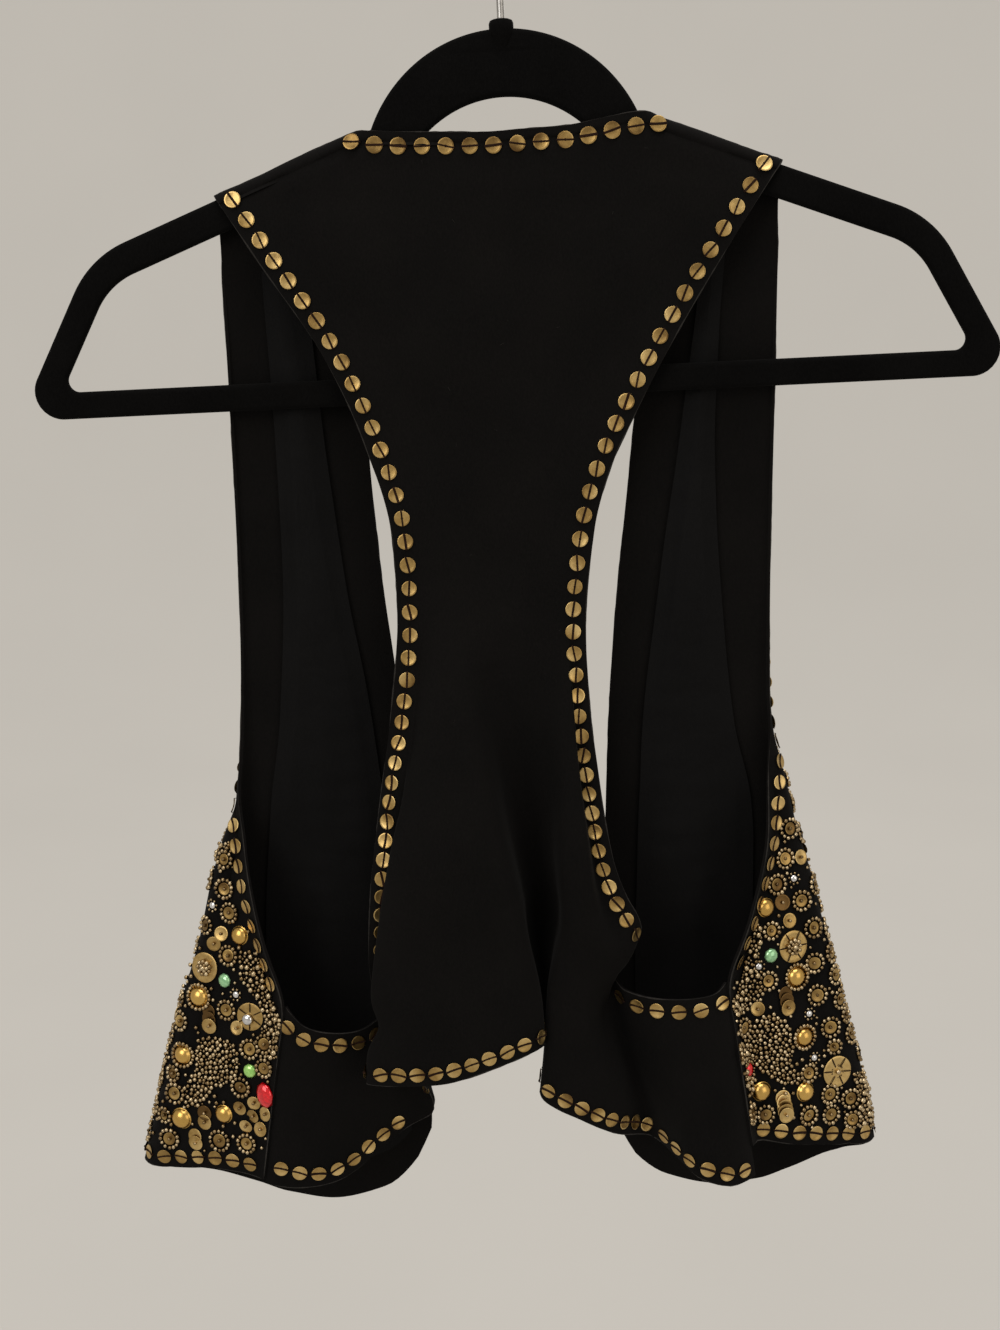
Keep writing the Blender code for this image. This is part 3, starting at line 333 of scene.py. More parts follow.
RIGHT_ORNAMENTS = (
    # kind, across and down in the frame, width in mm
    ("rosette", 788, 828, 10.6), ("rosette", 783, 858, 10.6), ("sequin", 799, 857, 7.4),
    ("crystal", 793, 878, 3.8), ("rosette", 775, 884, 10.6), ("dome", 764, 907, 9),
    ("dark sequin", 781, 902, 8), ("rosette", 800, 900, 10.6), ("sequin", 788, 920, 7.4),
    ("rosette", 770, 930, 9.5), ("rosette", 812, 927, 10.6), ("stone disc", 792, 946, 16),
    ("green", 770, 955, 7.4), ("rosette", 813, 962, 10.6), ("ringed dome", 795, 976, 14.5),
    ("rosette", 767, 980, 10.1), ("crystal", 758, 966, 3.8), ("rosette", 815, 994, 11.1),
    ("dark stack", 785, 1000, 8), ("crystal", 808, 1013, 3.8), ("rosette", 741, 1027, 10.1),
    ("sequin", 757, 1008, 7), ("ringed dome", 803, 1036, 14), ("rosette", 829, 1026, 11.1),
    ("crystal", 813, 1057, 3.8), ("spoked disc", 835, 1070, 16), ("rosette", 807, 1072, 10.1),
    ("dome", 760, 1090, 9.5), ("dome", 804, 1091, 9.5), ("rosette", 828, 1093, 10.6),
    ("rosette", 849, 1097, 10.6), ("stack", 783, 1105, 8), ("rosette", 764, 1113, 10.1),
    ("rosette", 807, 1114, 10.6), ("rosette", 829, 1113, 10.6), ("rosette", 851, 1118, 10.1),
    ("red", 747, 1069, 5.5),
)

# Patches of beads set as close as they will go, each within an outline of the frame
LEFT_FIELDS = (
    # kind, outline
    ("paved", ((200, 1038), (223, 1035), (238, 1046), (242, 1065), (235, 1080), (214, 1087), (203, 1105),
               (188, 1105), (185, 1090), (190, 1079), (199, 1067), (197, 1051))),
    ("mixed", ((242, 951), (258, 950), (265, 966), (272, 992), (279, 1009), (287, 1031), (289, 1051),
               (284, 1059), (262, 1056), (258, 1040), (265, 1023), (262, 1006), (253, 992), (242, 978),
               (240, 964))),
    ("mixed", ((216, 846), (232, 842), (234, 866), (222, 872))),
)
RIGHT_FIELDS = (
    # kind, outline
    ("paved", ((747, 1030), (757, 1017), (771, 1012), (782, 1018), (789, 1030), (792, 1046), (789, 1062),
               (800, 1078), (794, 1083), (782, 1083), (773, 1076), (762, 1071), (750, 1057), (746, 1043))),
    ("mixed", ((753, 922), (760, 924), (760, 939), (757, 954), (760, 968), (763, 983), (760, 998),
               (750, 1010), (733, 1014), (727, 1003), (737, 987), (742, 970), (746, 952), (750, 935))),
    ("mixed", ((851, 1073), (861, 1071), (867, 1089), (872, 1117), (872, 1128), (861, 1128), (851, 1117),
               (858, 1103))),
    ("mixed", ((742, 1039), (750, 1041), (754, 1062), (752, 1085), (748, 1094), (743, 1085))),
)
FIELD_BEADS = {
    # room, bead radius, how many are tried for, tones from and to
    "paved": ((0.00104, 0.00116, 3500, 0.3, 1.05), (0.0006, 0.0007, 3500, 0.1, 0.8)),
    "mixed": ((0.0014, 0.0015, 60, 0.7, 1.0), (0.001, 0.0011, 1500, 0.2, 1.0),
               (0.00062, 0.00072, 4000, 0.1, 0.9)),
}

# Ornaments of the rest of the fronts, scattered from the largest down
SCATTER = (
    # kind, width in mm, how many are tried for
    ("cluster", 23.0, 9), ("spoked disc", 16.0, 7), ("stone disc", 15.5, 8), ("ringed dome", 14.5, 22),
    ("cluster", 14.0, 18), ("red", 10.0, 7), ("rosette", 10.5, 170), ("dome", 9.5, 24), ("stack", 8.0, 14),
    ("green", 7.4, 9), ("lime", 7.4, 7), ("double", 7.8, 10), ("sequin", 7.4, 130), ("rosette", 8.6, 90),
    ("crystal", 3.8, 22), ("loose", 2.6, 240),
)
SCATTER_TRIES = 30
EDGE_MARGIN, SEAM_MARGIN = 0.0108, 0.0012
AWAY_FROM_CAMERA, SAME_SIDE = 0.7, 0.2

# How the ornaments are made: beads, layers and gaps in metres, beads in a ring for each metre of width, and
# the rest as shares of an ornament's half width or of a bead's radius
LAYER = 0.0004
BEAD_RADIUS, BEAD_SEAT, RING_BEAD_SIZES, FIELD_BEAD_SIZES = 0.00112, 0.7, (0.88, 1.12), (0.9, 1.1)
LOOSE_BEAD_SIZES, LOOSE_BEAD_TONES = (0.0008, 0.0012), (0.2, 1.0)
SEAT_REACH, METAL_TONES = 0.8, (0.3, 0.9)
# The second of these sets how steeply tone slopes across each rosette's and stack's disc, in a random
# direction: painted shade.
DISC_SEAT, DISC_PAINTED_SHADE, DISC_LEAN, DISC_HEIGHT, DISC_TONES, SPOKES = 0.05, 0.2, 5, 0.8, (0.45, 0.8), 6
ROSETTE_DISC, ROSETTE_TONES = 0.58, (-0.15, 0.5)
ROSETTE_RING, ROSETTE_BEADS, ROSETTE_BEAD_TONES = 0.6, 1180, (0.2, 1.0)
ROSETTE_EYE, ROSETTE_EYE_TONES = 0.001, (0.0, 0.4)
DOME_HEIGHT, DOME_GAP, DOME_BEADS, DOME_BEAD_TONES = 0.75, 0.0003, 1300, (0.2, 0.9)
STACK_HEADING, STACK_BEAD, STACK_BEAD_TONES, DARK_TONE = (0.15, 0.0, -1.0), 0.0009, (0.1, 0.7), -0.9
STONE_HEADING, STONE_HEIGHT, STONE_TONES, RED_LENGTH = (1.0, 0.0, 0.15), 0.85, (0.2, 0.9), 1.35
CRYSTAL_RING = (0.0009, 8, 0.0007)
GEM_LIFT, GEM_HEADING, GEM_SHIFT, GEM_SIZE = 0.0006, (-0.5, 0.0, -0.6), 0.25, 0.44
CLUSTER_PITCH, CLUSTER_ROW, CLUSTER_MARGIN, CLUSTER_SHIFT = 0.0016, 0.87, 0.0006, 0.00018
CLUSTER_SMALL, CLUSTER_SMALL_TONES = (0.00062, 0.0008), (0.15, 0.9)
CLUSTER_LARGE, CLUSTER_LARGE_TONES, CLUSTER_LARGE_LIFT, CLUSTER_LARGE_EVERY = 0.00125, (0.75, 1.0), 0.0005, 3
STACKS = {
    # how many discs, how far apart
    "sequin": (1, 0.0), "dark sequin": (1, 0.0), "double": (2, 0.0034), "dark stack": (3, 0.0034),
    "stack": (5, 0.0021),
}
STUDDED = (((0.42, 9), (0.2, 5)), 0.0012, (0.3, 1.0), 0.0004, (0.0014, 1.0, 0.001))
DISC_BEADS = {
    # rings as radius and count, their bead's radius, tones and lift, and the middle bead's radius, tone
    # and lift
    "spoked disc": (((0.4, 9),), 0.0006, (0.0, 0.3), 0.0005, (0.0015, 0.9, 0.0007)), "stone disc": STUDDED,
    "big disc": STUDDED,
}


def table_curve(rows, column, at):
    """One column of a table at the given places of its first column, on a curve with no overshoot."""
    xs, ys = np.array(sorted((row[0], row[column]) for row in rows)).T
    steps = np.diff(xs)
    slopes = np.diff(ys) / steps
    tangents = np.concatenate((slopes[:1], np.zeros(len(xs) - 2), slopes[-1:]))
    for i in range(1, len(xs) - 1):
        if slopes[i - 1] * slopes[i] > 0:
            tangents[i] = 2 * slopes[i - 1] * slopes[i] / (slopes[i - 1] + slopes[i])
    at = np.clip(np.asarray(at, dtype=float), xs[0], xs[-1])
    i = np.clip(np.searchsorted(xs, at) - 1, 0, len(steps) - 1)
    t = (at - xs[i]) / steps[i]
    rise = ys[i] * (1 + 2 * t) * (1 - t) ** 2 + ys[i + 1] * t * t * (3 - 2 * t)
    return rise + steps[i] * (tangents[i] * t * (1 - t) ** 2 + tangents[i + 1] * t * t * (t - 1))


def between(start, end, share):
    return start + (end - start) * share


def unit(vectors):
    return vectors / np.maximum(np.linalg.norm(vectors, axis=-1, keepdims=True), 1e-9)


def summed(steps):
    return np.concatenate(([0.0], np.cumsum(steps)))


def run_lengths(path):
    """The length along a path to each of its points."""
    return summed(np.linalg.norm(np.diff(path, axis=0), axis=1))


def points_at(at, lengths, path):
    """Points of a path at the given lengths along it."""
    return np.stack([np.interp(at, lengths, path[:, k]) for k in range(3)], axis=-1)


def smooth_path(stations, samples):
    """Points of a smooth curve through the stations, evenly many between each pair."""
    points = np.array(stations, dtype=float)
    padded = np.vstack((2 * points[0] - points[1], points, 2 * points[-1] - points[-2]))
    per_pair = max(4, samples // (len(points) - 1))
    path = []
    for first in range(len(points) - 1):
        blend = list(padded[first:first + 4])
        knots = summed([max(1e-6, np.linalg.norm(q - p)) ** 0.5 for p, q in zip(blend, blend[1:])])
        t = np.linspace(knots[1], knots[2], per_pair, endpoint=False)[:, None]
        for spans in (((0, 1), (1, 2), (2, 3)), ((0, 2), (1, 3)), ((1, 2),)):
            blend = [(knots[j] - t) / (knots[j] - knots[i]) * p + (t - knots[i]) / (knots[j] - knots[i]) * q
                     for (i, j), p, q in zip(spans, blend, blend[1:])]
        path.append(blend[0])
    return np.vstack(path + [points[-1:]])


def trimmed(path, at_start, at_end):
    """A path shortened by a length at each end."""
    lengths = run_lengths(path)
    first, last = at_start, lengths[-1] - at_end
    ends = points_at((first, last), lengths, path)
    return np.vstack((ends[:1], path[(lengths > first) & (lengths < last)], ends[1:]))


def spread(path, columns):
    """Points along a path, closer together where it bends."""
    steps = np.diff(path, axis=0)
    heading = unit(steps)
    turns = np.arccos(np.clip((heading[1:] * heading[:-1]).sum(axis=1), -1, 1))
    weight = summed(np.linalg.norm(steps, axis=1) + BEND_WEIGHT * np.concatenate(([0.0], turns)))
    return points_at(np.linspace(0, weight[-1], columns + 1), weight, path)


def hanger_world(x, z):
    """A point of the level hanger after it is tilted about the origin."""
    x = x + HANGER_OFFSET
    cos, sin = math.cos(HANGER_TILT), math.sin(HANGER_TILT)
    return x * cos - z * sin, x * sin + z * cos


def bend_level():
    """Level of an arm's outer bend on the level hanger."""
    return ARM_START_LEVEL - (ARM_BEND - ARM_START) * math.tan(ARM_SLOPE)


def shoulder_crest(x):
    """Level of the cloth's crest over the tilted hanger's arm."""
    side = math.copysign(1.0, x)
    near, far = hanger_world(side * ARM_START, ARM_START_LEVEL), hanger_world(side * ARM_BEND, bend_level())
    return near[1] + (x - near[0]) * (far[1] - near[1]) / (far[0] - near[0]) + ROLL_LIFT


def roll_depth(below):
    """How far the cloth stands off the hanger's plane at a distance below a shoulder's crest."""
    inside = max(0.0, ROLL_RADIUS - max(0.0, below))
    return max(SHOULDER_SEAM_SETBACK, math.sqrt(ROLL_RADIUS ** 2 - inside ** 2))


def roll_shares(fall):
    """Shares of a fall at which the cloth has rows where it rolls over a shoulder."""
    return [-ROLL_RADIUS * step / fall for step in ROLL_STEPS]


def back_top(x):
    """Level of the back's top edge, and how much of it rolls over the hanger there."""
    inner_left, inner_right = NECK_EDGE[0][0], NECK_EDGE[-1][0]
    if x <= inner_left or x >= inner_right:
        return shoulder_crest(x), 1.0
    from_end = min(x - inner_left, inner_right - x)
    return table_curve(NECK_EDGE, 1, x), max(0.0, 1.0 - from_end / NECK_ROLL_OFF)


def back_upper_row(share):
    """A row of the back between its top edge, at share 0, and the waist, at share 1."""
    sides = (BACK_LEFT_EDGE, BACK_RIGHT_EDGE)
    left, right = (table_curve(rows, 1, between(rows[0][0], WAIST_LEVEL, share)) for rows in sides)
    row = []
    for across in np.arange(BACK_COLUMNS + 1) / BACK_COLUMNS:
        top, roll = back_top(between(BACK_LEFT_EDGE[0][1], BACK_RIGHT_EDGE[0][1], across))
        z = between(top, WAIST_LEVEL, share)
        hang = between(*(table_curve(rows, 2, z) for rows in sides), across)
        below = top - z
        stands_off = roll_depth(below) + ROLL_EASE * max(0.0, below - ROLL_RADIUS)
        over = (hang - stands_off + math.hypot(hang + stands_off, ROLL_BLEND)) / 2
        row.append((between(left, right, across), hang * (1 - roll) + over * roll, z))
    return np.array(row)


def edge_point(rows, tuck_top, tuck_share, share):
    """A point on the back's cut edge down to its tuck, then on the tuck down to the hem."""
    if share <= tuck_share:
        level = WAIST_LEVEL + (tuck_top - WAIST_LEVEL) * share / tuck_share
    else:
        level = tuck_top + (rows[-1][0] - tuck_top) * (share - tuck_share) / (1 - tuck_share)
    return np.array((table_curve(rows, 1, level), table_curve(rows, 2, level), level))


def back_lower_row(share, tuck_share):
    """A row of the back from the waist, at share 0, to the hem, as left strip, middle, right strip."""
    left = edge_point(BACK_LEFT_EDGE, LEFT_TUCK_TOP, tuck_share, share)
    right = edge_point(BACK_RIGHT_EDGE, RIGHT_TUCK_TOP, tuck_share, share)
    middle = [left]
    for across, hem_x, hem_y, hem_z, begins, ends in BACK_FOLDS:
        x, y, _ = between(left, right, across)
        t = min(1.0, max(0.0, (share - begins) / (ends - begins)))
        straight = STRAIGHT_FALL if begins == 0.0 else 0.0
        fall = straight * share + (1 - straight) * t * t * (3 - 2 * t)
        middle.append((between(x, hem_x, fall), between(y, hem_y, 1 - (1 - fall) ** DEPTH_POWER),
                       between(WAIST_LEVEL, hem_z, share)))
    middle.append(right)
    if share < tuck_share:
        return None, spread(smooth_path(middle, CURVE_SAMPLES), BACK_COLUMNS), None
    strip_share = (share - tuck_share) / (1 - tuck_share)
    left_strip, right_strip = ([between(np.array(row[:3]), np.array(row[3:]), strip_share) for row in rows]
                               for rows in (LEFT_STRIP, reversed(RIGHT_STRIP)))
    stations = left_strip + middle + right_strip
    path = smooth_path(stations, CURVE_SAMPLES)
    per_pair = (len(path) - 1) // (len(stations) - 1)
    first = len(left_strip) * per_pair
    last = first + (len(middle) - 1) * per_pair
    return (spread(trimmed(path[:first + 1], SIDE_SEAM_SETBACK, 0.0), STRIP_COLUMNS),
            spread(path[first:last + 1], BACK_COLUMNS),
            spread(trimmed(path[last:], 0.0, SIDE_SEAM_SETBACK), STRIP_COLUMNS))


def back_grids():
    """Points of the back on grids: its middle, and the two strips under its armholes."""
    shares = roll_shares(WAIST_LEVEL - BACK_LEFT_EDGE[0][0])
    shares += list(np.linspace(0, 1, BACK_ROWS_UPPER + 1)[1:-1])
    corner = (LEFT_TUCK_TOP - WAIST_LEVEL) / (BACK_LEFT_EDGE[-1][0] - WAIST_LEVEL)
    corner_row = round(corner * BACK_ROWS_LOWER)
    lower = (*np.linspace(0, corner, corner_row + 1)[:-1],
             *np.linspace(corner, 1, BACK_ROWS_LOWER - corner_row + 1))
    left, middle, right = zip(*(back_lower_row(share, corner) for share in lower))
    strips = (np.array([row for row in rows if row is not None]) for rows in (left, right))
    return np.array([back_upper_row(share) for share in shares] + list(middle)), *strips


def front_section(rows, level, side):
    """A level section of a front, from its inner edge round its outer fold to its outer edge."""
    inner, fold, edge, edge_depth, radius, depth = (table_curve(rows, k, level) for k in range(1, 7))
    inner, fold, edge = inner * side, fold * side, edge * side
    centre, tail = fold - radius, fold - edge
    sweep = math.pi if tail > radius else math.pi / 2 + math.asin(tail / max(radius, 1e-6))
    points = [(x, depth) for x in np.linspace(inner, centre, RUN_SAMPLES)]
    points += [(centre + radius * math.sin(angle), depth - radius + radius * math.cos(angle))
               for angle in np.linspace(0, sweep, TURN_SAMPLES)[1:]]
    if tail > radius:
        x, y = points[-1]
        points += [(between(x, edge, t), between(y, edge_depth, t))
                   for t in np.linspace(0, 1, TURN_SAMPLES)[1:]]
    return np.array([(x * side, y, level) for x, y in points])


def front_grid(rows, side, hem_column):
    """Points of a front on a grid, from its shoulder seam to its hem."""
    fall = rows[-1][0] - rows[0][0]
    downs = np.array(roll_shares(fall) + list(np.linspace(0, 1, FRONT_ROWS + 1)[1:]))
    shares = np.arange(FRONT_COLUMNS + 1) / FRONT_COLUMNS
    tops = [shoulder_crest(between(rows[0][1], rows[0][2], share)) for share in shares]
    hems = [table_curve(FRONT_HEM, hem_column, share) for share in shares]
    points = []
    for down in downs:
        section = trimmed(front_section(rows, rows[0][0] + fall * down, side), 0.0, SIDE_SEAM_SETBACK)
        for (x, y, _), share, top, hem in zip(spread(section, FRONT_COLUMNS), shares, tops, hems):
            z = between(top, hem, down)
            if top - z < ROLL_RADIUS:
                y = min(y, roll_depth(top - z))
            wave = sum(height * down * math.exp(-((share - place) / width) ** 2)
                       for place, width, height in FRONT_WAVES)
            points.append((x, y + wave, z))
    grid = np.array(points).reshape(len(downs), -1, 3)
    for i, share in enumerate(shares):
        cut = table_curve(FRONT_HEM_CUT, hem_column, share)
        shortened = downs - cut / (grid[0, i, 2] - grid[-1, i, 2]) * downs ** HEM_CUT_POWER
        grid[:, i] = points_at(shortened, downs, grid[:, i])
    return grid


def grid_normals(grid, side):
    return unit(np.cross(np.gradient(grid, axis=1), np.gradient(grid, axis=0))) * side


def path_lengths(grid, axis):
    """The length along each row, or down each column, to each point of a grid."""
    steps = np.linalg.norm(np.diff(grid, axis=axis), axis=2)
    pad = [(0, 0), (0, 0)]
    pad[axis] = (1, 0)
    return np.cumsum(np.pad(steps, pad), axis=axis)


def lining_grid(front, outward, edge_rows):
    """Points of a lining: the front's own form moved inwards and drawn in from its edges."""
    inner = front - outward * (FRONT_WALL / 2 + LINING_CLEARANCE + LINING_WALL / 2)
    down = path_lengths(front, 0)
    rows = []
    for fall in np.linspace(0, 1, LINING_ROWS + 1):
        at = between(LINING_FROM_SHOULDER, down[-1] - LINING_FROM_HEM, fall)
        line = np.array([points_at(at[j], down[:, j], inner[:, j]) for j in range(len(at))])
        reach = run_lengths(line)
        beyond = abs(line[:, 0]) - abs(table_curve(edge_rows, 1, line[:, 2]))
        crossing = int(np.argmax(beyond > 0))
        end = np.interp(0.0, beyond[crossing - 1:crossing + 1], reach[crossing - 1:crossing + 1])
        rows.append(points_at(np.linspace(LINING_FROM_INNER_EDGE, end, LINING_COLUMNS + 1), reach, line))
    return np.array(rows)


def bow(start, middle, end):
    """Points along a line that starts and ends at two places and bends towards a third."""
    t = np.linspace(0, 1, CREASE_SAMPLES)[:, None]
    a, b, c = (np.array(place, dtype=float) for place in (start, middle, end))
    return a * (1 - t) ** 2 + 2 * b * t * (1 - t) + c * t * t


def creased(grid, outward, creases, by_level=False):
    """A grid with creases along lines of places across and down it, given as shares or as across and level.

    A crease is fullest halfway along. All relief is gone at the side borders, so that blocks still meet.
    """
    height = UNEVEN_HEIGHT * sum(share * np.sin(grid @ np.array(pull) + start)
                                 for share, pull, start in UNEVEN_WAVES)
    ends = np.array(grid.shape[:2]) - 1
    for start, middle, end, width, depth in creases:
        places, line = grid, bow(start, middle, end)
        if by_level:
            places = grid[..., [0, 2]]
        else:
            line = np.array([grid[round(down * ends[0]), round(share * ends[1])] for share, down in line])
        gaps = np.linalg.norm(places[..., None, :] - line, axis=-1)
        fullness = np.sin(math.pi * (gaps.argmin(axis=-1) / (len(line) - 1))) ** CREASE_POWER
        height = height + depth * fullness * np.exp(-(gaps.min(axis=-1) / width) ** 2)
    across = path_lengths(grid, 1)
    fade = np.clip(np.minimum(across, across[:, -1:] - across) / BORDER_FADE, 0, 1)
    return grid + outward * (height * fade)[..., None]


def set_back(grid, border, table, width, hollow=False):
    """A grid that falls back at a side border, or in a hollow beside it, further at some levels."""
    levels, depths = zip(*table)
    across = path_lengths(grid, 1)
    beside = abs(across - across[:, [border]]) / width
    moved = grid.copy()
    shape = beside * np.exp(1 - beside) if hollow else np.clip(1 - beside, 0, 1) ** 2
    moved[..., 1] += np.interp(grid[:, [border], 2], levels, depths) * shape
    return moved


def eased(grid):
    """A grid whose columns run on without small steps."""
    weights = np.array((1, 2, 3, 4, 5, 4, 3, 2, 1)) / 25
    reach = len(weights) // 2
    head, tail = 2 * grid[:1] - grid[reach:0:-1], 2 * grid[-1:] - grid[-2:-reach - 2:-1]
    padded = np.concatenate((head, grid, tail))
    return sum(weight * padded[k:k + len(grid)] for k, weight in enumerate(weights))


def dented(grid):
    """The back's middle with its left lobe's ridge pushed in above the hem."""
    gap = (grid[..., [0, 2]] - np.array(RIDGE_DENT)) / np.array(RIDGE_DENT_REACH)
    moved = grid.copy()
    moved[..., 0] += RIDGE_DENT_DEPTH * np.exp(-(gap ** 2).sum(axis=-1))
    return moved


def arc(centre, radius, end):
    """Half of an arch from beside its top to an angle, with no point on its middle line or its end."""
    angles = np.linspace(0.0, end, 2 * HANGER_ARC_STEPS + 1)[1::2]
    return [(radius * math.sin(a), centre + radius * math.cos(a)) for a in angles]


def rounded(corners):
    """An outline's points with each corner turned into an arc of its own radius."""
    points = []
    for i, (x, z, radius) in enumerate(corners):
        here = Vector((x, z))
        if radius == 0.0:
            points.append(tuple(here))
            continue
        before, after = ((Vector(corners[k][:2]) - here).normalized() for k in (i - 1, i + 1))
        half = before.angle(after) / 2
        middle = here + (before + after).normalized() * (radius / math.sin(half))
        start, end = (here + side * (radius / math.tan(half)) - middle for side in (before, after))
        points += [tuple(middle + start.lerp(end, k / HANGER_CORNER_STEPS).normalized() * radius)
                   for k in range(HANGER_CORNER_STEPS + 1)]
    return points


def mirrored(points):
    """A closed outline from its right half, listed from the top down."""
    return points + [(-x, z) for x, z in reversed(points)]


def offset_line(start, end, distance):
    """A line moved sideways to its right, as a point and a direction."""
    heading = (Vector(end) - Vector(start)).normalized()
    return Vector(start) + Vector((heading.y, -heading.x)) * distance, heading


def meeting(one, other):
    """Where two lines, each a point and a direction, cross."""
    (p, u), (q, v) = one, other
    return p + u * (((q - p).x * v.y - (q - p).y * v.x) / (u.x * v.y - u.y * v.x))


def hanger_outlines():
    """The hanger's outer outline and the outline of its one large opening."""
    arm, bend = (ARM_START, ARM_START_LEVEL), (ARM_BEND, bend_level())
    corner, foot = (END_CORNER, BAR_BOTTOM), (0.0, BAR_BOTTOM)
    arch_end = math.acos((ARM_START_LEVEL - ARCH_OUTER_CENTRE) / ARCH_OUTER_RADIUS)
    side = rounded(((*arm, 0.0), (*bend, ARM_BEND_ROUND), (*corner, END_ROUND), (*foot, 0.0)))
    outer = mirrored(arc(ARCH_OUTER_CENTRE, ARCH_OUTER_RADIUS, arch_end) + side[:-1])

    lower_arm, inner_end = offset_line(arm, bend, ARM_WIDTH), offset_line(bend, corner, END_WIDTH)
    inner_bend = meeting(lower_arm, inner_end)
    inner_corner = meeting(inner_end, offset_line(corner, foot, BAR_TOP - BAR_BOTTOM))
    inner_side = rounded(((*lower_arm[0], 0.0), (*inner_bend, ARM_BEND_ROUND - ARM_WIDTH),
                          (*inner_corner, INNER_END_ROUND), (0.0, BAR_TOP, 0.0)))
    reach = math.asin(INNER_ARCH_REACH / ARCH_INNER_RADIUS)
    return outer, mirrored(arc(ARCH_INNER_CENTRE, ARCH_INNER_RADIUS, reach) + inner_side[:-1])


def hook_route():
    """The hook's wire from its boss up, out to one side, over the top and down to its end."""
    centre = WIRE_RADIUS - CROOK_RADIUS
    route = [(HANGER_OFFSET, BOSS_TOP - BORE_DEPTH + 2 * BORE_CLEARANCE),
             (HANGER_OFFSET, BOSS_TOP + SHANK_ABOVE_BOSS)]
    for t in np.linspace(0, 1, SWING_STEPS)[:-1]:
        across = between(HANGER_OFFSET, CROOK_RADIUS, t * t * (3 - 2 * t))
        route.append((across, between(BOSS_TOP + SWING_ABOVE_BOSS, centre, t)))
    return route + [(CROOK_RADIUS * math.cos(turn), centre + CROOK_RADIUS * math.sin(turn))
                    for turn in np.linspace(0, CROOK_SWEEP, CROOK_STEPS)]


def quads(rows, columns, flip=False):
    """Corner numbers of a grid's quads."""
    i, j = np.meshgrid(np.arange(rows - 1), np.arange(columns - 1), indexing="ij")
    first = (i * columns + j).ravel()
    faces = np.column_stack((first, first + columns, first + columns + 1, first + 1))
    return faces[:, ::-1] if flip else faces


def tree_of(grid, flip=False):
    """A search tree over a grid of points, whose face normals point outwards."""
    return BVHTree.FromPolygons(grid.reshape(-1, 3).tolist(), quads(*grid.shape[:2], flip).tolist())


def linked(name, data):
    """A new object of the scene."""
    made = bpy.data.objects.new(name, data)
    bpy.context.scene.collection.objects.link(made)
    return made


def add_piece(name, mesh, materials, slot):
    """A finished piece of the object: it rides on the body and has its materials; its slot is not used."""
    made = linked(name, mesh)
    for material in materials:
        mesh.materials.append(material)
    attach(made, BODY)
    return made


def mesh_of(name, corners, triangles):
    """A mesh of triangles, shaded as smooth."""
    mesh = bpy.data.meshes.new(name)
    mesh.from_pydata(corners.tolist(), [], triangles.tolist(), shade_flat=False)
    return mesh


def mesh_made_by(draft):
    """The mesh that an object's curve or modifiers make, in place of the object."""
    bpy.context.view_layer.update()
    mesh = bpy.data.meshes.new_from_object(draft.evaluated_get(bpy.context.evaluated_depsgraph_get()))
    bpy.data.objects.remove(draft, do_unlink=True)
    return mesh


def weld(bm, mesh, distance):
    bmesh.ops.remove_doubles(bm, verts=bm.verts, dist=distance)
    bm.to_mesh(mesh)
    bm.free()


def sheet_piece(name, blocks, wall, materials, slot, flip=False):
    """A thin closed shell of cloth on blocks of grid points, with the cloth's own lengths as UV."""
    bm = bmesh.new()
    lengths = bm.loops.layers.uv.new("cloth")
    for grid in blocks:
        places = np.stack((path_lengths(grid, 1), path_lengths(grid, 0)), axis=-1).reshape(-1, 2)
        corners = [bm.verts.new(point) for point in grid.reshape(-1, 3)]
        for face in quads(*grid.shape[:2], flip):
            made = bm.faces.new([corners[k] for k in face])
            made.smooth = True
            for loop, k in zip(made.loops, face):
                loop[lengths].uv = places[k]
    sheet = bpy.data.meshes.new(name)
    weld(bm, sheet, CLOTH_WELD)
    draft = linked(name + "_draft", sheet)
    solid = draft.modifiers.new("wall", "SOLIDIFY")
    solid.thickness = wall
    solid.offset = 0.0
    solid.use_even_offset = False
    solid.material_offset_rim = 1
    for material in materials:
        sheet.materials.append(material)
    shell = mesh_made_by(draft)
    shell.set_sharp_from_angle(angle=CLOTH_SHARP)
    shell.materials.clear()
    return add_piece(name, shell, materials, slot)


def lathe(profile, segments, closed=False):
    """Corners and triangles of a turned shape, whose profile runs from its top outwards and down."""
    corners, rings = [], []
    angles = np.arange(segments) * 2 * math.pi / segments
    for radius, height in profile:
        count = 1 if radius == 0 else segments
        rings.append([len(corners) + k for k in range(count)])
        corners += [(radius * math.cos(a), radius * math.sin(a), height) for a in angles[:count]]
    triangles = []
    for inner, outer in list(zip(rings, rings[1:])) + ([(rings[-1], rings[0])] if closed else []):
        for k in range(segments):
            a, b = inner[k % len(inner)], outer[k % len(outer)]
            c, d = outer[(k + 1) % len(outer)], inner[(k + 1) % len(inner)]
            if len(outer) > 1:
                triangles.append((a, b, c))
            if len(inner) > 1:
                triangles.append((a, c, d))
    return np.array(corners), np.array(triangles)


def thread(route, half_width, half_height):
    """Corners and triangles of a flat thread along a route of (along, height) pairs."""
    corners = []
    for x, z in route:
        corners += [(x, half_width, z), (x, 0, z + half_height), (x, -half_width, z), (x, 0, z - half_height)]
    triangles = [(0, 1, 2), (0, 2, 3)]
    for i in range(len(route) - 1):
        for k in range(4):
            a, b = 4 * i + k, 4 * i + (k + 1) % 4
            triangles += [(a, a + 4, b), (b, a + 4, b + 4)]
    last = 4 * (len(route) - 1)
    triangles += [(last, last + 2, last + 1), (last, last + 3, last + 2)]
    return np.array(corners, dtype=float), np.array(triangles)


def half_round(steps, height):
    angles = np.linspace(0, math.pi / 2, steps + 1)
    return [(math.sin(a) if a else 0, height * math.cos(a)) for a in angles]


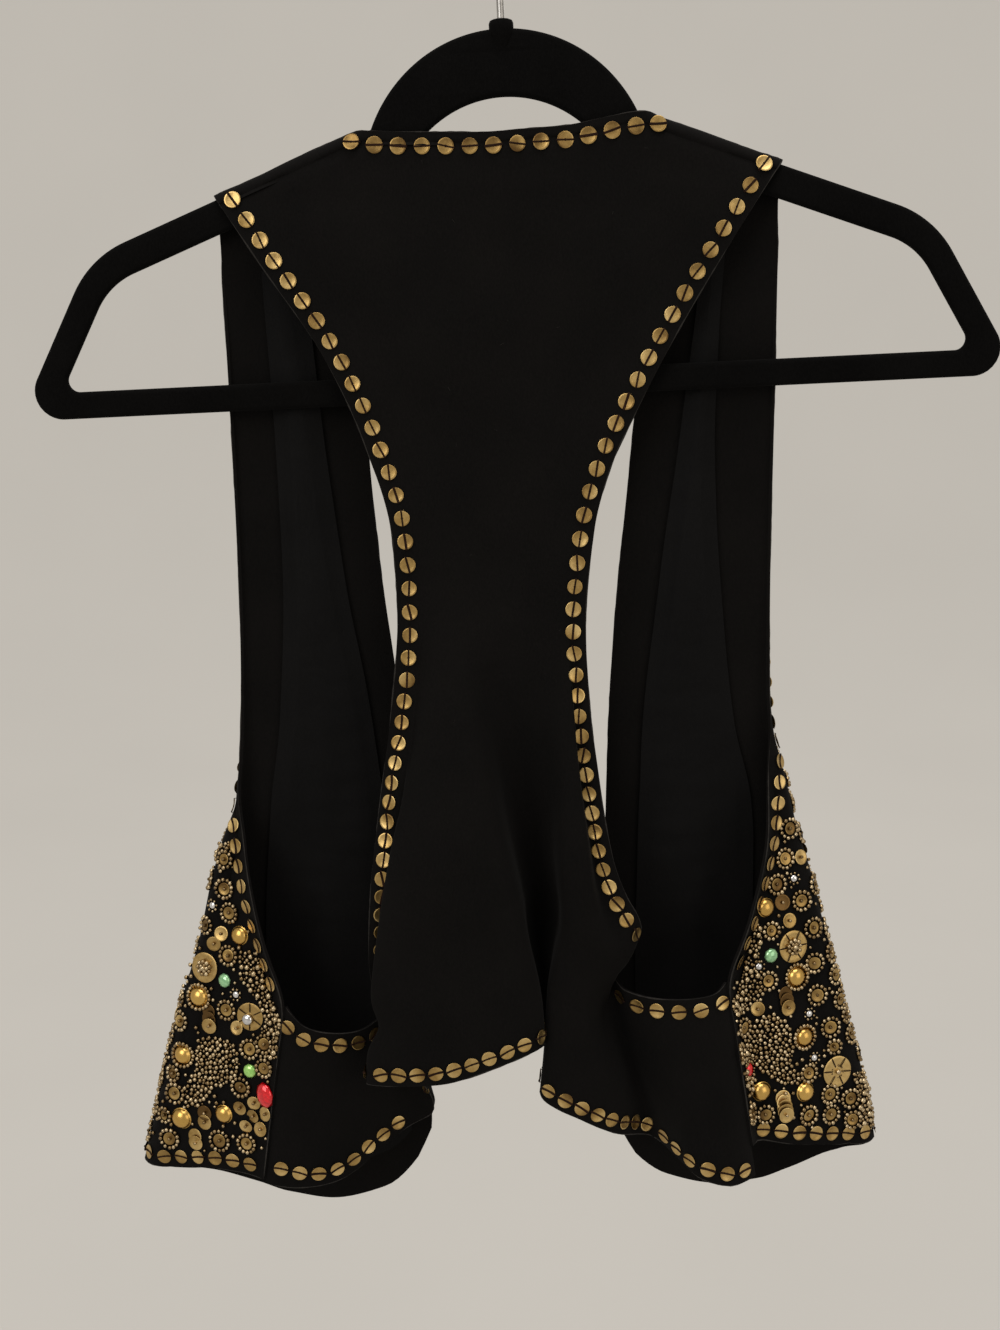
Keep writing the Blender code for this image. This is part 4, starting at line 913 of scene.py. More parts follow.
def cut_stone():
    """Corners and triangles of a faceted stone: a table, two staggered rows of facets and a flat foot."""
    corners = [(0.0, 0.0, 0.6), (0.0, 0.0, 0.0)]
    for radius, height, turn in ((0.52, 0.6, 0.0), (0.84, 0.38, 0.5), (1.0, 0.12, 0.0), (0.9, 0.0, 0.0)):
        angles = [(k + turn) * math.pi / 4 for k in range(8)]
        corners += [(radius * math.cos(a), radius * math.sin(a), height) for a in angles]
    table, middle, girdle, foot = (2 + 8 * ring for ring in range(4))
    triangles = []
    for k in range(8):
        n = (k + 1) % 8
        triangles += [(0, table + k, table + n), (table + k, middle + k, table + n),
                      (middle + k, middle + n, table + n), (middle + k, girdle + n, middle + n),
                      (middle + k, girdle + k, girdle + n), (girdle + k, foot + k, foot + n),
                      (girdle + k, foot + n, girdle + n), (1, foot + n, foot + k)]
    return np.array(corners), np.array(triangles)


# Small shapes, as shares of the radius or half length that each copy gets
CUPPED = lathe(((0.1, 0.02), (0.45, 0.036), (0.8, 0.088), (0.97, 0.125), (1.0, 0.105), (0.97, 0.075),
                (0.8, 0.035), (0.1, -0.04)), 18, closed=True)
SMALL_CUPPED = lathe(((0.1, 0.02), (0.6, 0.06), (0.97, 0.175), (1.0, 0.14), (0.6, 0.0), (0.1, -0.04)), 12,
                     closed=True)
FLAT_DISC = lathe(((0, 0.05), (0.3, 0.05), (0.8, 0.055), (0.93, 0.075), (1.0, 0.045), (0.98, 0.0), (0, 0.0)),
                  26)
BEAD, SMALL_BEAD = (lathe(((0, 1.0), (0.71, 0.71), (1.0, 0.0), (0.71, -0.71), (0, -1.0)), sides)
                    for sides in (6, 5))
DOME = lathe(half_round(5, 0.92)[:-1] + [(1.0, 0.08), (1.05, 0.05), (1.05, 0.0), (0, 0.0)], 18)
KNOT = lathe(((0, 0.1), (0.13, 0.07), (0.19, 0.0), (0, -0.02)), 8)
STITCH = thread(((-1.12, -0.08), (-1.0, 0.2), (-0.5, 0.1), (-0.12, 0.05), (0.12, 0.05), (0.5, 0.1),
                 (1.0, 0.2), (1.12, -0.08)), 0.125, 0.06)
LINT = thread(((-1.0, 0.0), (-0.4, 0.16), (0.3, 0.1), (1.0, 0.0)), 0.06, 0.06)
SPOKE = thread(((0.3, 0.02), (0.4, 0.09), (0.9, 0.1), (1.04, -0.02)), 0.035, 0.03)
STONE = cut_stone()


class Batch:
    """Many copies of small shapes that become one piece, with no sharp edges where they are polished."""

    def __init__(self, name, material, slot, polished=False):
        self.name, self.material, self.slot, self.polished = name, material, slot, polished
        self.corners, self.triangles, self.tones, self.total = [], [], [], 0

    def add(self, shape, place, axes, size, tone, fade=(0.0, 0.0)):
        """One copy of a shape, whose tone may fade across it: a slope of painted shade, lighter on one side
        of the copy and darker on the other.
        """
        corners, triangles = shape
        self.corners.append((corners * size) @ axes + place)
        self.triangles.append(triangles + self.total)
        # The tone slope across each copy is painted shade, in whatever direction it is given.
        self.tones.append(tone + corners[:, :2] @ np.array(fade))
        self.total += len(corners)

    def piece(self):
        mesh = mesh_of(self.name, np.vstack(self.corners), np.vstack(self.triangles))
        mesh.validate()
        tones = mesh.attributes.new("tone", "FLOAT", "POINT")
        tones.data.foreach_set("value", np.concatenate(self.tones))
        if not self.polished:
            mesh.set_sharp_from_angle(angle=TRIM_SHARP)
        return add_piece(self.name, mesh, (self.material,), self.slot)


def axes_at(normal, heading):
    """Rows of a frame that stands on a surface, turned so that its first axis runs along a direction."""
    normal = np.array(normal) / np.linalg.norm(normal)
    heading = np.array(heading) - normal * np.dot(heading, normal)
    heading /= max(np.linalg.norm(heading), 1e-9)
    return np.array((heading, np.cross(normal, heading), normal))


def tilted(axes, degrees):
    """A frame turned a little out of its surface, differently each time."""
    lean = random.normal(0, math.radians(degrees), 2)
    return axes_at(axes[2] + axes[0] * lean[0] + axes[1] * lean[1], axes[0])


def on_circle(axes, angle):
    return axes[0] * math.cos(angle) + axes[1] * math.sin(angle)


def fray(batch, edge, outward, wall):
    """A fine uneven line of fibres along the outer corner of a cut edge."""
    beside = unit(np.cross(outward, np.gradient(edge, axis=0)))
    turns = np.arange(FRAY_SIDES) * 2 * math.pi / FRAY_SIDES
    sizes = FRAY_RADIUS * random.uniform(*FRAY_SIZES, (len(edge), 1, 1))
    middle, swing, rate = FRAY_WAVE
    waves = middle + swing * np.sin(np.arange(len(edge)) * rate + random.uniform(*FRAY_STARTS))
    sizes *= np.clip(waves, *FRAY_LIMITS)[:, None, None]
    sizes[0] = sizes[-1] = FRAY_TIP
    rings = (outward[:, None] * np.cos(turns)[:, None] + beside[:, None] * np.sin(turns)[:, None]) * sizes
    corners = (rings + (edge + outward * (FRAY_SEAT * wall))[:, None]).reshape(-1, 3)
    i, k = np.meshgrid(np.arange(len(edge) - 1), np.arange(FRAY_SIDES), indexing="ij")
    a, b = (i * FRAY_SIDES + k).ravel(), (i * FRAY_SIDES + (k + 1) % FRAY_SIDES).ravel()
    c, d = b + FRAY_SIDES, a + FRAY_SIDES
    triangles = np.vstack((np.column_stack((a, b, c)), np.column_stack((a, c, d))))
    batch.add((corners, triangles), np.zeros(3), np.eye(3), 1.0, PLAIN_TONE)


def nearest(tree, point):
    """The nearest place of a surface and the normal there."""
    place, normal, _, _ = tree.find_nearest(point)
    return np.array(place), np.array(normal)


def level_seat(tree, place, normal, radius):
    """Where a flat thing lies at a place of a surface, level and clear of the surface all round its rim."""
    axes = axes_at(normal, (1.0, 0.0, 0.0))
    rim = [nearest(tree, place + on_circle(axes, k * math.pi / 4) * radius) for k in range(8)]
    normal = normal + sum(there for _, there in rim) / 4
    normal /= np.linalg.norm(normal)
    lift = max(0.0, *(np.dot(there - place, normal) for there, _ in rim))
    return place + normal * min(lift, radius / 2), normal


def trim_line(edge, inner, tree, inset):
    """The line on the surface that runs a set distance in from an edge."""
    line = []
    for point, tangent, beside, inset_here in zip(edge, np.gradient(edge, axis=0), inner,
                                                  np.broadcast_to(inset, len(edge))):
        inward = np.cross(nearest(tree, point)[1], tangent)
        inward /= max(np.linalg.norm(inward), 1e-9)
        if np.dot(inward, beside - point) < 0:
            inward = -inward
        line.append(nearest(tree, point + inward * inset_here)[0])
    padded = np.pad(line, ((2, 2), (0, 0)), mode="edge")
    return sum(padded[k:k + len(line)] for k in range(5)) / 5


def places_along(line, tree, pitch, first, last):
    """Places along a line at a pitch that may change on the way, each with its frame on the surface."""
    lengths = run_lengths(line)
    reach = np.linspace(first, lengths[-1] - last, PITCH_SAMPLES)
    pitches = np.broadcast_to(pitch, max(2, np.size(pitch)))
    rate = 1 / np.interp(np.linspace(0, 1, PITCH_SAMPLES), np.linspace(0, 1, len(pitches)), pitches)
    passed = summed((rate[1:] + rate[:-1]) / 2 * np.diff(reach))
    found = []
    for at in np.interp(np.linspace(0, passed[-1], max(1, round(passed[-1])) + 1), passed, reach):
        here, ahead = points_at((at - HEADING_REACH, at + HEADING_REACH), lengths, line)
        place, normal = nearest(tree, (here + ahead) / 2)
        found.append((place, axes_at(normal, ahead - here)))
    return found


def sequin_row(edge, inner, tree, wall, pitch, gaps, batches, inset=SEQUIN_INSET, tones=EDGE_TONES):
    """A row of discs along an edge, each with its stitch."""
    discs, stitches, _ = batches
    taken = []
    for place, axes in places_along(trim_line(edge, inner, tree, inset), tree, pitch, *gaps):
        place, normal = level_seat(tree, place, axes[2], SEQUIN_RADIUS)
        taken.append((*place, *normal, SEQUIN_RADIUS))
        axes = tilted(axes_at(normal, axes[0]), EDGE_LEAN)
        seat = place + axes[2] * (wall / 2 + TRIM_LIFT + EDGE_SEAT * SEQUIN_RADIUS)
        size = SEQUIN_RADIUS * random.uniform(*EDGE_SIZES)
        # Each disc's tone slopes across it in a random direction: painted shade.
        discs.add(CUPPED, seat, axes, size, random.uniform(*tones), random.normal(0, EDGE_PAINTED_SHADE, 2))
        stitch_axes = axes_at(axes[2], axes[0] + axes[1] * random.normal(0, STITCH_TURN))
        thickness = np.array((1.0, random.uniform(*STITCH_WIDTHS), 1.0))
        stitches.add(STITCH, seat, stitch_axes, thickness * size, random.uniform(*THREAD_TONES))
        stitches.add(KNOT, seat, stitch_axes, size, random.uniform(*THREAD_TONES))
    return taken


def finish(name, settings):
    """A material with its shader's plain settings."""
    made = bpy.data.materials.new(name)
    made.use_nodes = True
    for socket, value in settings.items():
        made.node_tree.nodes["Principled BSDF"].inputs[socket].default_value = value
    return made


def add_node(made, kind, settings=(), feeds=()):
    """A node with its plain settings and with the outputs that feed its other sockets."""
    node = made.node_tree.nodes.new("ShaderNode" + kind)
    for socket, value in settings:
        node.inputs[socket].default_value = value
    for output, socket in feeds:
        made.node_tree.links.new(output, node.inputs[socket])
    return node.outputs


def shade(made, output, socket):
    made.node_tree.links.new(output, made.node_tree.nodes["Principled BSDF"].inputs[socket])


def noise(made, scale, detail=3.0, stretch=(1.0, 1.0, 1.0)):
    """A noise over the piece's own coordinates."""
    coords = add_node(made, "TexCoord")["Object"]
    places = add_node(made, "Mapping", (("Scale", stretch),), ((coords, "Vector"),))["Vector"]
    return add_node(made, "TexNoise", (("Scale", scale), ("Detail", detail)), ((places, "Vector"),))["Fac"]


def colour(made, factor, stops):
    """The shader's colour as a ramp over a factor."""
    output = add_node(made, "ValToRGB", (), ((factor, "Fac"),))["Color"]
    marks = output.node.color_ramp.elements
    while len(marks) < len(stops):
        marks.new(0.5)
    for mark, (at, shown) in zip(marks, stops):
        mark.position = at
        mark.color = (*shown, 1.0)
    shade(made, output, "Base Color")


def roughen(made, factor, low, high):
    scaled = add_node(made, "MapRange", (("To Min", low), ("To Max", high)), ((factor, "Value"),))
    shade(made, scaled["Result"], "Roughness")


def bump(made, heights):
    """Fine relief from several heights, each with its strength and depth."""
    feeds = ()
    for height, strength, depth in heights:
        settings = (("Strength", strength), ("Distance", depth))
        normal = add_node(made, "Bump", settings, ((height, "Height"), *feeds))["Normal"]
        feeds = ((normal, "Normal"),)
    shade(made, normal, "Normal")


def blended(made, first, second, share):
    """A mix of two factors, with the given share of the second."""
    return add_node(made, "Mix", (("Factor", share),), ((first, 2), (second, 3)))[0]


def tone(made):
    output = add_node(made, "Attribute")["Fac"]
    output.node.attribute_name = "tone"
    return output


def cloth_finish(name, dark, light, roughness, sheen, gloss=0.1):
    made = finish(name, {"Sheen Weight": sheen, "Sheen Roughness": 0.5, "Sheen Tint": (0.8, 0.78, 0.76, 1.0),
                         "Specular IOR Level": gloss})
    fibre = noise(made, 1300.0, 2.0, (1.0, 1.0, 0.55))
    mottling = noise(made, 26.0, 4.0)
    colour(made, blended(made, mottling, fibre, 0.45), ((0.3, dark), (0.72, light)))
    roughen(made, mottling, roughness - 0.06, roughness + 0.06)
    bump(made, ((noise(made, 260.0, 2.0), 0.16, 0.0004), (fibre, 0.3, 0.0003)))
    return made


def metal_finish(name, stops, roughness, wear):
    """Worn metal whose colour follows each copy's tone and a patina."""
    made = finish(name, {"Metallic": 1.0})
    patina = noise(made, 420.0)
    colour(made, blended(made, tone(made), patina, wear), stops)
    roughen(made, patina, roughness - 0.08, roughness + 0.1)
    bump(made, ((noise(made, 900.0, 2.0), 0.1, 0.0002),))
    return made


def stone_finish(name, stops, metallic, roughness):
    """A foiled glass stone."""
    made = finish(name, {"Metallic": metallic, "Coat Weight": 0.8, "Coat Roughness": 0.03, "IOR": 1.6})
    colour(made, blended(made, tone(made), noise(made, 700.0, 2.0), 0.6), stops)
    roughen(made, noise(made, 300.0, 2.0), roughness, roughness + 0.08)
    return made


CLOTH = cloth_finish("black_crepe", (0.0016, 0.0014, 0.0013), (0.0044, 0.0038, 0.0035), 0.88, 0.015, 0.07)
CUT_EDGE = cloth_finish("cut_edge", (0.01, 0.009, 0.008), (0.032, 0.029, 0.026), 0.92, 0.07)
LINING = cloth_finish("lining_cloth", (0.002, 0.0019, 0.002), (0.0046, 0.0044, 0.0045), 0.74, 0.012, 0.07)
FLOCK = cloth_finish("black_flock", (0.0014, 0.0013, 0.0013), (0.0036, 0.0034, 0.0033), 0.97, 0.012, 0.04)
STEEL = metal_finish("bright_steel", ((0.2, (0.3, 0.29, 0.28)), (0.8, (0.5, 0.49, 0.47))), 0.34, 0.9)
SEQUIN = metal_finish("antique_sequin", ((0.05, (0.13, 0.074, 0.026)), (0.45, (0.4, 0.262, 0.092)),
                                         (0.95, (0.76, 0.56, 0.25))), 0.36, 0.4)
BRIGHT_GOLD = metal_finish("bright_gold", ((0.1, (0.42, 0.23, 0.05)), (0.9, (0.72, 0.47, 0.14))), 0.26, 0.4)
SEED = metal_finish("seed_bead", ((0.05, (0.07, 0.044, 0.02)), (0.45, (0.27, 0.188, 0.092)),
                                  (0.95, (0.6, 0.48, 0.3))), 0.28, 0.25)
THREAD = cloth_finish("thread", (0.006, 0.002, 0.001), (0.024, 0.009, 0.004), 0.85, 0.02)
RED = stone_finish("red_stone", ((0.3, (0.16, 0.001, 0.003)), (0.7, (0.9, 0.004, 0.012))), 0.55, 0.1)
GREEN = stone_finish("green_stone", ((0.3, (0.02, 0.18, 0.06)), (0.7, (0.34, 0.64, 0.33))), 0.4, 0.05)
LIME = stone_finish("lime_stone", ((0.3, (0.12, 0.38, 0.04)), (0.7, (0.46, 0.82, 0.22))), 0.4, 0.05)
CRYSTAL = stone_finish("clear_stone", ((0.2, (0.3, 0.3, 0.31)), (0.8, (0.95, 0.95, 0.95))), 0.95, 0.05)


def meshed(draft):
    """The mesh that an object's curve or modifiers make, with no double corners."""
    mesh = mesh_made_by(draft)
    bm = bmesh.new()
    bm.from_mesh(mesh)
    weld(bm, mesh, MESH_WELD)
    return mesh


def drawn(name, settings, lines, cyclic):
    """The mesh of a curve along lines of points."""
    curve = bpy.data.curves.new(name, "CURVE")
    for setting, value in settings.items():
        setattr(curve, setting, value)
    for line in lines:
        spline = curve.splines.new("POLY")
        spline.points.add(len(line) - 1)
        for point, place in zip(spline.points, line):
            point.co = (*place, 1.0)
        spline.use_cyclic_u = cyclic
    return meshed(linked(name, curve))


def lathed(name, profile, segments, place=(0.0, 0.0, 0.0)):
    """A mesh that is turned about an upright axis."""
    corners, triangles = lathe(profile, segments)
    return mesh_of(name, corners + place, triangles)


def tilted_piece(name, mesh, material, slot, sharp):
    mesh.transform(Matrix.Rotation(-HANGER_TILT, 4, "Y"))
    mesh.materials.clear()
    mesh.shade_smooth()
    mesh.set_sharp_from_angle(angle=sharp)
    return add_piece(name, mesh, (material,), slot)


def hanger_piece():
    """The flat frame: arms, arch and trouser bar in one piece, with the boss for the hook."""
    settings = {"dimensions": "2D", "fill_mode": "BOTH", "extrude": HANGER_THICKNESS / 2 - HANGER_EDGE_ROUND,
                "bevel_depth": HANGER_EDGE_ROUND, "bevel_resolution": 4, "offset": -HANGER_EDGE_ROUND}
    outlines = [[(x, z, 0.0) for x, z in outline] for outline in hanger_outlines()]
    flat = drawn("hanger_outline", settings, outlines, True)
    flat.transform(Matrix.Translation((HANGER_OFFSET, 0.0, 0.0)) @ Matrix.Rotation(math.radians(90), 4, "X"))
    lip, bore = BOSS_RADIUS - BOSS_ROUND, WIRE_RADIUS + BORE_CLEARANCE
    helpers = (
        ("boss", "UNION", (
            (0, 0), (lip, 0), (lip + 0.7 * BOSS_ROUND, -0.3 * BOSS_ROUND), (BOSS_RADIUS, -BOSS_ROUND),
            (BOSS_RADIUS, -0.35 * BOSS_DEPTH), (0.85 * BOSS_RADIUS, -0.7 * BOSS_DEPTH),
            (0.4 * BOSS_RADIUS, -1.3 * BOSS_DEPTH), (0, -1.3 * BOSS_DEPTH))),
        ("bore", "DIFFERENCE", (
            (0, BORE_OVERLAP), (bore, BORE_OVERLAP), (bore, -BORE_DEPTH), (0, -BORE_DEPTH))),
    )
    draft, shapes = linked("hanger_draft", flat), []
    for name, operation, profile in helpers:
        shapes.append(linked(name, lathed(name, profile, BOSS_SIDES, (HANGER_OFFSET, 0.0, BOSS_TOP))))
        step = draft.modifiers.new(name, "BOOLEAN")
        step.operation = operation
        step.solver = "MANIFOLD"
        step.object = shapes[-1]
    mesh = meshed(draft)
    for shape in shapes:
        bpy.data.objects.remove(shape, do_unlink=True)
    return tilted_piece("velvet_hanger", mesh, FLOCK, "flock", FLAT_SHARP)


def hook_piece():
    settings = {"dimensions": "3D", "bevel_depth": WIRE_RADIUS, "bevel_resolution": 6, "use_fill_caps": True}
    wire = drawn("hook_wire", settings, [[(x, 0.0, z) for x, z in hook_route()]], False)
    return tilted_piece("steel_hook", wire, STEEL, "hook_steel", WIRE_SHARP)


def photo_ray(px, py):
    """Direction from the camera through a place of the photo's frame."""
    cos, sin = math.cos(CAMERA_PITCH), math.sin(CAMERA_PITCH)
    right, up = px - FRAME_MIDDLE[0], FRAME_MIDDLE[1] - py
    return Vector((right, FOCAL_PIXELS * cos + up * sin, up * cos - FOCAL_PIXELS * sin)).normalized()


def within(px, py, outline):
    """Whether a place of the frame lies in an outline."""
    (ax, ay), (bx, by) = outline.T, np.roll(outline, -1, axis=0).T
    crossed = (ay > py) != (by > py)
    slope = (bx - ax) / np.where(by == ay, 1.0, by - ay)
    return bool(np.count_nonzero(crossed & (px < ax + (py - ay) * slope)) % 2)


# What each piece is made of, and its slot
EDGE_PIECES = (
    ("edge_sequins", SEQUIN, "sequin"), ("edge_stitches", THREAD, "cloth"),
    ("edge_fibres", CUT_EDGE, "cloth"),
)
SEWN_PIECES = (
    ("sequins", SEQUIN, "sequin"), ("discs", SEQUIN, "sequin"), ("ring_beads", SEED, "bead"),
    ("seed_beads", SEED, "bead"), ("domes", BRIGHT_GOLD, "bead"), ("threads", THREAD, "cloth"),
    ("red_stones", RED, "stone"), ("green_stones", GREEN, "stone"), ("lime_stones", LIME, "stone"),
    ("crystal_stones", CRYSTAL, "stone"),
)


def batches_of(name, pieces):
    return [Batch(name + "_" + kind, material, slot, slot == "stone") for kind, material, slot in pieces]


class Sewing:
    """The ornaments of one front, gathered by what they are made of."""

    def __init__(self, side, tree):
        self.tree, self.lift, self.placed = tree, FRONT_WALL / 2 + TRIM_LIFT, []
        self.batches = batches_of("front_" + side, SEWN_PIECES)
        self.sequins, self.discs, self.rings, self.seeds, self.domes, self.threads, *stones = self.batches
        self.stones = dict(zip(("red", "green", "lime", "crystal"), stones))

    def seat(self, point):
        """A point's place on the outer face and the normal there."""
        place, normal = nearest(self.tree, point)
        return place + normal * self.lift, normal

    def on_face(self, px, py):
        """The point of the outer face that shows at a place of the frame."""
        ray = photo_ray(px, py)
        place, normal, _, _ = self.tree.ray_cast(CAMERA_PLACE, ray)
        return np.array(place) if place is not None and normal.dot(ray) < 0 else None

    def is_free(self, place, normal, radius):
        """Whether an ornament of a radius has room, counting only those on the same side of the cloth."""
        if not self.placed:
            return True
        taken = np.array(self.placed)
        gaps = np.linalg.norm(taken[:, :3] - place, axis=1) - taken[:, 6] - radius
        return not np.any((gaps < 0) & (taken[:, 3:6] @ normal > SAME_SIDE))

    def bead(self, batch, point, radius, brightness, fine, lift=0.0):
        place, normal = self.seat(point)
        axes = axes_at(normal, random.normal(size=3))
        seat = place + normal * (radius * BEAD_SEAT + lift)
        batch.add(BEAD if fine else SMALL_BEAD, seat, axes, radius, brightness)

    def ring(self, place, axes, radius, count, bead_radius, fine, tones, lift=0.0):
        start = random.uniform(0, 2 * math.pi)
        for k in range(count):
            point = place + on_circle(axes, start + 2 * math.pi * k / count) * radius
            size = bead_radius * random.uniform(*RING_BEAD_SIZES)
            self.bead(self.rings, point, size, random.uniform(*tones), fine, lift)

    def disc(self, place, axes, radius, brightness, fine, lift):
        seat = place + axes[2] * (lift + DISC_SEAT * radius)
        # A tone slope across the disc in a random direction: painted shade.
        fade = random.normal(0, DISC_PAINTED_SHADE, 2)
        axes = tilted(axes, DISC_LEAN)
        self.sequins.add(CUPPED if fine else SMALL_CUPPED, seat, axes, radius, brightness, fade)

    def cluster(self, place, axes, radius, fine):
        """A patch of beads set close together, with every few of them larger and brighter."""
        count = int(radius / CLUSTER_PITCH) + 1
        for i in range(-count, count + 1):
            for j in range(-count, count + 1):
                x, y = CLUSTER_PITCH * (i + 0.5 * (j % 2)), CLUSTER_PITCH * CLUSTER_ROW * j
                if math.hypot(x, y) > radius - CLUSTER_MARGIN:
                    continue
                x, y = (at + random.normal(0, CLUSTER_SHIFT) for at in (x, y))
                point = place + axes[0] * x + axes[1] * y
                if i % CLUSTER_LARGE_EVERY == 0 and j % CLUSTER_LARGE_EVERY == 0:
                    brightness = random.uniform(*CLUSTER_LARGE_TONES)
                    self.bead(self.seeds, point, CLUSTER_LARGE, brightness, fine, CLUSTER_LARGE_LIFT)
                else:
                    size = random.uniform(*CLUSTER_SMALL)
                    self.bead(self.seeds, point, size, random.uniform(*CLUSTER_SMALL_TONES), fine)

    def field(self, kind, outline):
        """A patch within an outline of the frame, filled with beads as close as they will go."""
        low, high = outline.min(axis=0), outline.max(axis=0)
        for room, radius, tries, dark, bright in FIELD_BEADS[kind]:
            for px, py in random.uniform(low, high, (tries, 2)):
                point = self.on_face(px, py) if within(px, py, outline) else None
                if point is None:
                    continue
                place, normal = self.seat(point)
                if self.is_free(place, normal, room):
                    size = radius * random.uniform(*FIELD_BEAD_SIZES)
                    self.bead(self.seeds, point, size, random.uniform(dark, bright), True)
                    self.placed.append((*place, *normal, room))

    def stack(self, kind, place, axes, half, fine):
        """Holed sequins that overlap in a row, with a bead on the last."""
        count, apart = STACKS[kind]
        for k in range(count):
            here = place + axes[0] * ((k - (count - 1) / 2) * apart)
            brightness = random.uniform(*METAL_TONES)
            if kind.startswith("dark") and (k < count - 1 or count == 1):
                brightness = DARK_TONE
            self.disc(here, axes, half, brightness, fine, LAYER * k)
        self.bead(self.rings, here, STACK_BEAD, random.uniform(*STACK_BEAD_TONES), fine, LAYER * count)

    def flat_disc(self, kind, place, axes, half, fine):
        """A large flat disc with a stone or rings of beads on it, and threads over its rim."""
        normal = axes[2]
        self.discs.add(FLAT_DISC, place, axes, (half, half, half * DISC_HEIGHT), random.uniform(*DISC_TONES))
        if kind == "crystal disc":
            gem = place + normal * GEM_LIFT + axes_at(normal, GEM_HEADING)[0] * GEM_SHIFT * half
            self.stones["crystal"].add(STONE, gem, axes, GEM_SIZE * half, random.uniform(*METAL_TONES))
        else:
            rings, bead_radius, tones, lift, middle = DISC_BEADS[kind]
            for share, count in rings:
                self.ring(place, axes, share * half, count, bead_radius, fine, tones, lift)
            radius, brightness, lift = middle
            self.bead(self.rings, place, radius, brightness, fine, lift)
        if kind != "big disc":
            for angle in np.arange(SPOKES) * 2 * math.pi / SPOKES:
                self.threads.add(SPOKE, place, axes_at(normal, on_circle(axes, angle)), half,
                                 random.uniform(*THREAD_TONES))

    def sew(self, kind, point, width, fine):
        """One ornament of a kind at a point of the front."""
        half = width / 2
        place, normal = level_seat(self.tree, *nearest(self.tree, point), SEAT_REACH * half)
        place = place + normal * self.lift
        axes = axes_at(normal, random.normal(size=3))
        if kind == "rosette":
            self.disc(place, axes, ROSETTE_DISC * half, random.uniform(*ROSETTE_TONES), fine, LAYER)
            radius, count = half - ROSETTE_RING * BEAD_RADIUS, round(width * ROSETTE_BEADS)
            self.ring(place, axes, radius, count, BEAD_RADIUS, fine, ROSETTE_BEAD_TONES)
            self.bead(self.rings, place, ROSETTE_EYE, random.uniform(*ROSETTE_EYE_TONES), fine, LAYER)
        elif kind in STACKS:
            self.stack(kind, place, axes_at(normal, STACK_HEADING), half, fine)
        elif kind in ("dome", "ringed dome"):
            radius = half if kind == "dome" else half - 2 * BEAD_RADIUS - DOME_GAP
            size = (radius, radius, DOME_HEIGHT * radius)
            self.domes.add(DOME, place, axes, size, random.uniform(*METAL_TONES))
            if kind == "ringed dome":
                count = round(width * DOME_BEADS)
                self.ring(place, axes, half - BEAD_RADIUS, count, BEAD_RADIUS, fine, DOME_BEAD_TONES)
        elif kind.endswith("disc"):
            self.flat_disc(kind, place, axes, half, fine)
        elif kind == "cluster":
            self.cluster(place, axes_at(normal, (1.0, 0.0, 0.0)), half, fine)
        else:
            size = (half, half * (RED_LENGTH if kind == "red" else 1.0), half * STONE_HEIGHT)
            stone_axes = axes_at(normal, STONE_HEADING)
            self.stones[kind].add(STONE, place, stone_axes, size, random.uniform(*STONE_TONES))
            if kind == "crystal":
                radius, count, bead_radius = CRYSTAL_RING
                self.ring(place, axes, half + radius, count, bead_radius, fine, METAL_TONES)
        self.placed.append((*place, *normal, half))

    def scatter(self, grid, seam_top):
        """Ornaments and loose beads over the rest of the front, the largest first."""
        across, down = path_lengths(grid, 1), path_lengths(grid, 0)
        to_outer, to_hem = across[:, -1:] - across, down[-1:] - down
        cells = np.linalg.norm(np.cross(np.diff(grid, axis=1)[:-1], np.diff(grid, axis=0)[:, :-1]), axis=2)
        share = (cells / cells.sum()).ravel()
        for kind, width, count in SCATTER:
            radius = width / 2000
            for cell in random.choice(len(share), size=count * SCATTER_TRIES, p=share):
                i, j = divmod(int(cell), grid.shape[1] - 1)
                outer_margin = EDGE_MARGIN if grid[i, -1, 2] > seam_top else SEAM_MARGIN
                room = min(across[i, j] - EDGE_MARGIN, to_outer[i, j] - outer_margin,
                           to_hem[i, j] - EDGE_MARGIN, down[i, j] - EDGE_MARGIN)
                if room < radius:
                    continue
                u, v = random.random(2)
                point = between(*(between(grid[row, j], grid[row, j + 1], u) for row in (i, i + 1)), v)
                place, normal = self.seat(point)
                if normal[1] < AWAY_FROM_CAMERA and kind not in ("loose", "rosette"):
                    continue
                if not self.is_free(place, normal, radius):
                    continue
                if kind == "loose":
                    size = random.uniform(*LOOSE_BEAD_SIZES)
                    self.bead(self.seeds, point, size, random.uniform(*LOOSE_BEAD_TONES), False)
                    self.placed.append((*place, *normal, radius))
                else:
                    self.sew(kind, point, width / 1000, False)
                count -= 1
                if count == 0:
                    break


hanger = hanger_piece()
hook = hook_piece()
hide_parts("hanger")
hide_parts("hook")

middle, left_strip, right_strip = back_grids()
middle = dented(creased(middle, -grid_normals(middle, 1.0), BACK_CREASES, True))
middle = set_back(set_back(middle, 0, LEFT_ROLL, BACK_ROLL_WIDTH), -1, RIGHT_ROLL, BACK_ROLL_WIDTH)
left_strip, right_strip = (
    set_back(creased(strip, -grid_normals(strip, 1.0), STRIP_CREASES, True), border, STRIP_ROLL,
             STRIP_ROLL_WIDTH)
    for strip, border in ((left_strip, 0), (right_strip, -1)))
back = sheet_piece("vest_back", (middle, left_strip, right_strip), BACK_WALL, (CLOTH, CUT_EDGE), "cloth")
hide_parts("back")

